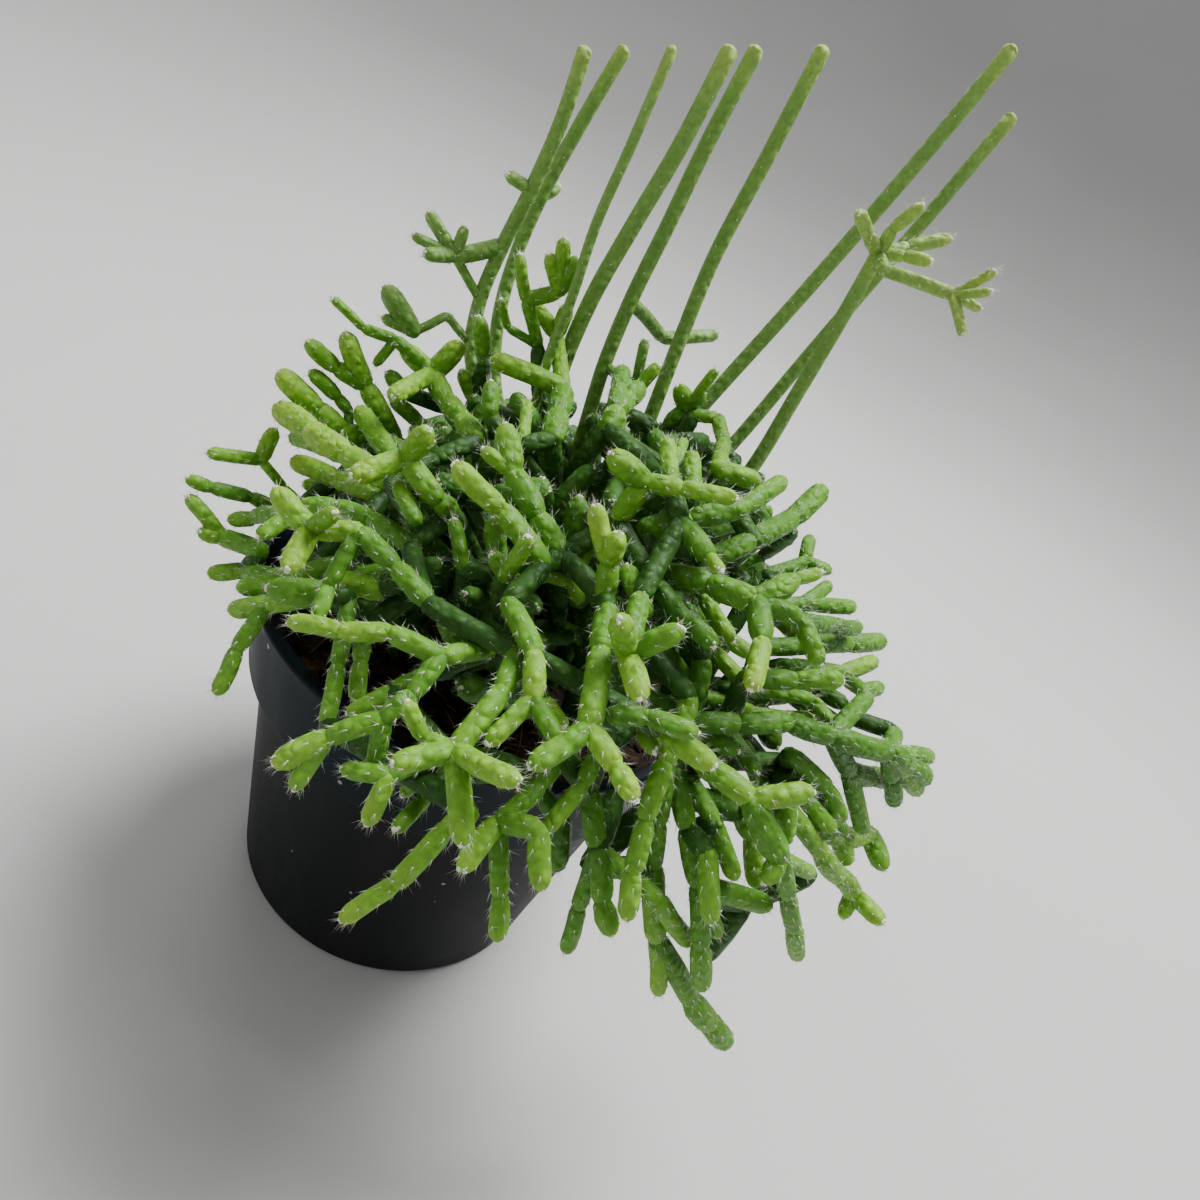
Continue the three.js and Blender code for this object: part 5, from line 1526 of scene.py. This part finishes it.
def make_pot(material):
    """The pot, thin enough to have slight dents, with its drainage holes."""
    bm = turned(pot_outline(), POT_STEPS)
    for corner in bm.verts:
        x, y, height = corner.co
        out = math.hypot(x, y)
        if height < BASE_EDGE or height > POT_HEIGHT - BAND_HEIGHT + BAND_STEP or out < 1:
            continue
        dent = DENT_DEPTH * noise.noise(Vector((x, y, height * 0.5)) / DENT_WIDTH)
        rise = min(1, (height - BASE_EDGE) / DENT_RISE)
        corner.co = (x * (1 + dent * rise / out), y * (1 + dent * rise / out), height)
    bmesh.ops.scale(bm, vec=(MM, MM, MM), verts=bm.verts)
    drill = bmesh.new()
    for index in range(DRAIN_HOLES):
        turn = 2 * math.pi * index / DRAIN_HOLES
        spot = (DRAIN_CIRCLE * math.cos(turn) * MM, DRAIN_CIRCLE * math.sin(turn) * MM, FLOOR / 2 * MM)
        bmesh.ops.create_cone(
            drill, cap_ends=True, segments=DRAIN_SIDES, radius1=DRAIN_RADIUS * MM, radius2=DRAIN_RADIUS * MM,
            depth=4 * FLOOR * MM, matrix=Matrix.Translation(spot))
    shell = put_in_scene("shell", mesh_from(bm))
    cutter = put_in_scene("cutter", mesh_from(drill))
    cut = shell.modifiers.new("holes", "BOOLEAN")
    cut.operation = "DIFFERENCE"
    cut.object = cutter
    drilled = bpy.data.meshes.new_from_object(shell.evaluated_get(bpy.context.evaluated_depsgraph_get()))
    for one in (shell, cutter):
        bpy.data.objects.remove(one)
    finish_piece("pot_shell", drilled, material, "pot")


def pot_inside(height):
    """The pot's inner radius at a height within its band."""
    low = POT_HEIGHT - BAND_HEIGHT + BAND_STEP
    low_radius = BAND_BOTTOM_RADIUS - BAND_WALL
    high_radius = LIP_RADIUS - LIP_WIDTH - LEDGE_RISE
    return low_radius + (height - low) / (POT_HEIGHT - low) * (high_radius - low_radius)


def soil_height(x, y):
    """The peat's rough top, calmer near the pot's wall."""
    spot = Vector((x, y, 0))
    lumps = noise.multi_fractal(spot / LUMP_WIDTH, 0.9, 2.1, 4) - 1
    edge = max(0, 1 - max(0, math.hypot(x, y) - CALM_FROM) / CALM_WIDTH)
    wave = noise.noise(spot / WAVE_WIDTH) * SOIL_RELIEF
    return SOIL_TOP + LUMP_HEIGHT * lumps * (CALM_SHARE + (1 - CALM_SHARE) * edge) + wave


def scatter(count, reach, nearest):
    """Spots drawn evenly over the soil, out to a reach, with the soil's height at each."""
    turns = SOIL_DRAWS.uniform(0, 2 * math.pi, count)
    outs = reach * np.sqrt(SOIL_DRAWS.uniform(nearest, 1, count))
    x, y = outs * np.cos(turns), outs * np.sin(turns)
    return x, y, np.array([soil_height(*spot) for spot in zip(x, y)])


def make_soil(peat_material, fibre_material):
    """The lump of peat, with a rough top, crumbs on it and fibres that stand out of it."""
    band_bottom = POT_HEIGHT - BAND_HEIGHT
    top_radius = pot_inside(SOIL_TOP) - 0.1
    rings = [(top_radius * (1 - ring / SOIL_RINGS), SOIL_TOP) for ring in range(SOIL_RINGS)]
    bm = turned([
        (0, FLOOR + GAP),
        (BASE_RADIUS - WALL - GAP, FLOOR + GAP),
        (BODY_TOP_RADIUS - WALL - GAP, band_bottom),
        (BAND_BOTTOM_RADIUS - BAND_WALL - GAP, band_bottom + BAND_STEP),
        *rings,
        (0, SOIL_TOP)], SOIL_STEPS)
    for corner in bm.verts:
        if corner.co.z > SOIL_TOP - GAP:
            corner.co.z = soil_height(corner.co.x, corner.co.y)
    bmesh.ops.scale(bm, vec=(MM, MM, MM), verts=bm.verts)
    finish_piece("soil_lump", mesh_from(bm), peat_material, "soil")

    bm = bmesh.new()
    bmesh.ops.create_icosphere(bm, subdivisions=1, radius=1)
    crumb = pattern_of(bm)
    x, y, heights = scatter(CRUMBS, top_radius - CRUMB_MARGIN, 0.02)
    sizes = SOIL_DRAWS.uniform(*CRUMB_SIZE, CRUMBS) * SOIL_DRAWS.uniform(0.5, 1, CRUMBS)
    ways = unit(SOIL_DRAWS.normal(size=(CRUMBS, 3)))
    places = np.stack([x, y, heights + sizes * 0.25], axis=1)
    crumbs = upright_copies(crumb, places, ways, sizes, sizes * SOIL_DRAWS.uniform(0.5, 1.1, CRUMBS))
    finish_piece("soil_crumbs", mesh_of_copies([crumbs], False), peat_material, None)

    thread = pattern_of(turned([(0, 0), (0.6, 0.02), (1, 0.3), (1, 0.6), (0.6, 0.95), (0, 1)], 4))
    x, y, heights = scatter(FIBRES, top_radius - FIBRE_MARGIN, 0)
    lengths = SOIL_DRAWS.uniform(*FIBRE_LENGTH, FIBRES)
    ways = unit(SOIL_DRAWS.normal(size=(FIBRES, 3)) * np.array([1, 1, 0.22]))
    places = np.stack([x, y, heights + 0.5], axis=1)
    radii = SOIL_DRAWS.uniform(*FIBRE_RADIUS, FIBRES)
    fibres, pattern, tones = upright_copies(thread, places, ways, radii, lengths)
    shares = pattern.corners[None, :, 2, None]
    bends = SOIL_DRAWS.normal(size=(FIBRES, 1, 3)) * (lengths * FIBRE_BEND)[:, None, None]
    fibres += bends * 4 * shares * (1 - shares)
    mesh = mesh_of_copies([(fibres, pattern, tones)], False)
    finish_piece("soil_fibres", mesh, fibre_material, None)


def make_bark(material):
    """A flake of bark, in thin broken plates."""
    length, width, thick = BARK_SIZE
    bm = bmesh.new()
    bmesh.ops.create_cube(bm, size=1)
    bmesh.ops.subdivide_edges(bm, edges=bm.edges, cuts=9, use_grid_fill=True)
    for corner in bm.verts:
        x, y, z = corner.co
        narrow = 1 - 0.5 * abs(2 * x) ** 3
        rough = noise.noise(Vector((x * 4, y * 3, z)))
        corner.co = (
            x * length * (1 + 0.08 * rough), y * width * narrow * (1 + 0.15 * rough),
            z * thick * (1 - 0.5 * abs(2 * x) ** 2) + 0.35 * noise.noise(Vector((x * 9, y * 7, 2))))
    low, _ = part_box("bark")
    turn = Matrix.Rotation(BARK_TURN, 4, "Z")
    move = Matrix.Translation((*BARK_PLACE, low.z / MM + thick / 2))
    bmesh.ops.transform(bm, matrix=Matrix.Scale(MM, 4) @ move @ turn, verts=bm.verts)
    finish_piece("bark_flake", mesh_from(bm), material, "bark")


# Studio: the floor's flat radius, the curve up to its wall and the wall's height, in metres
FLOOR_RADIUS = 0.9
CURVE_RADIUS = 2.4
WALL_HEIGHT = 3.6

# Lights: name, place and width in metres, and power
LIGHTS = [
    ("key_light", (0.3, 0.35, 1.3), 0.7, 32),
    ("fill_light", (-0.9, -0.9, 0.9), 1.2, 2.5),
    ("back_light", (-0.5, 1.0, 1.0), 0.9, 4),
]
LIGHT_TARGET = Vector((0.02, 0, 0.1))
WORLD_STRENGTH = 0.6


def make_studio():
    """A pale floor that curves up into a wall all round, and large soft lights."""
    bm = bmesh.new()
    curve = arc((FLOOR_RADIUS, CURVE_RADIUS), CURVE_RADIUS, -90, 0, 16)
    line = [(0, 0), (FLOOR_RADIUS / 2, 0), *curve, (FLOOR_RADIUS + CURVE_RADIUS, WALL_HEIGHT)]
    corners = [bm.verts.new((out, 0, height)) for out, height in line]
    edges = [bm.edges.new(pair) for pair in zip(corners, corners[1:])]
    bmesh.ops.spin(
        bm, geom=corners + edges, axis=(0, 0, 1), cent=(0, 0, 0), steps=96, angle=2 * math.pi, use_merge=True)
    bmesh.ops.remove_doubles(bm, verts=bm.verts, dist=1e-5)
    smooth_object("floor", mesh_from(bm), backdrop_paint())
    for name, place, width, power in LIGHTS:
        data = bpy.data.lights.new(name, "AREA")
        data.shape = "DISK"
        data.size = width
        data.energy = power
        lamp = put_in_scene(name, data)
        lamp.location = place
        lamp.rotation_euler = (LIGHT_TARGET - Vector(place)).to_track_quat("-Z", "Y").to_euler()
    world = bpy.data.worlds.new("studio")
    world.use_nodes = True
    world.node_tree.nodes["Background"].inputs["Color"].default_value = linear("f4f6f8")
    world.node_tree.nodes["Background"].inputs["Strength"].default_value = WORLD_STRENGTH
    bpy.context.scene.world = world


def make_camera():
    data = bpy.data.cameras.new("photo_view")
    data.sensor_width = SENSOR_WIDTH
    data.lens = SENSOR_WIDTH * VIEW_FOCAL / PICTURE_WIDTH
    data.clip_start = 0.01
    camera = put_in_scene("photo_view", data)
    axes = Matrix((VIEW_RIGHT, VIEW_UP, -VIEW_AHEAD)).transposed()
    camera.matrix_world = Matrix.Translation(VIEW_FROM * MM) @ axes.to_4x4()
    bpy.context.scene.camera = camera


# Colours of the skin by tone
SPRAY_GREENS = [(0.0, "214015"), (1.0, "aecc44"), (0.3, "3f6f20"), (0.55, "5d9428"), (0.8, "82b634")]
STEM_GREENS = [(0.0, "56783c"), (1.0, "aec85a"), (0.35, "739c4a"), (0.6, "88b054")]

make_camera()
make_studio()
grow_plant()
part_long_pieces()
set_piece_draws()
skins = {
    "spray": cactus_skin("branchlet_skin", SPRAY_GREENS),
    "stem": cactus_skin("stem_skin", STEM_GREENS),
}
dress_plant(skins, wool_hair())
make_pot(pot_plastic())
make_soil(peat(), dry_fibre())
make_bark(pine_bark())
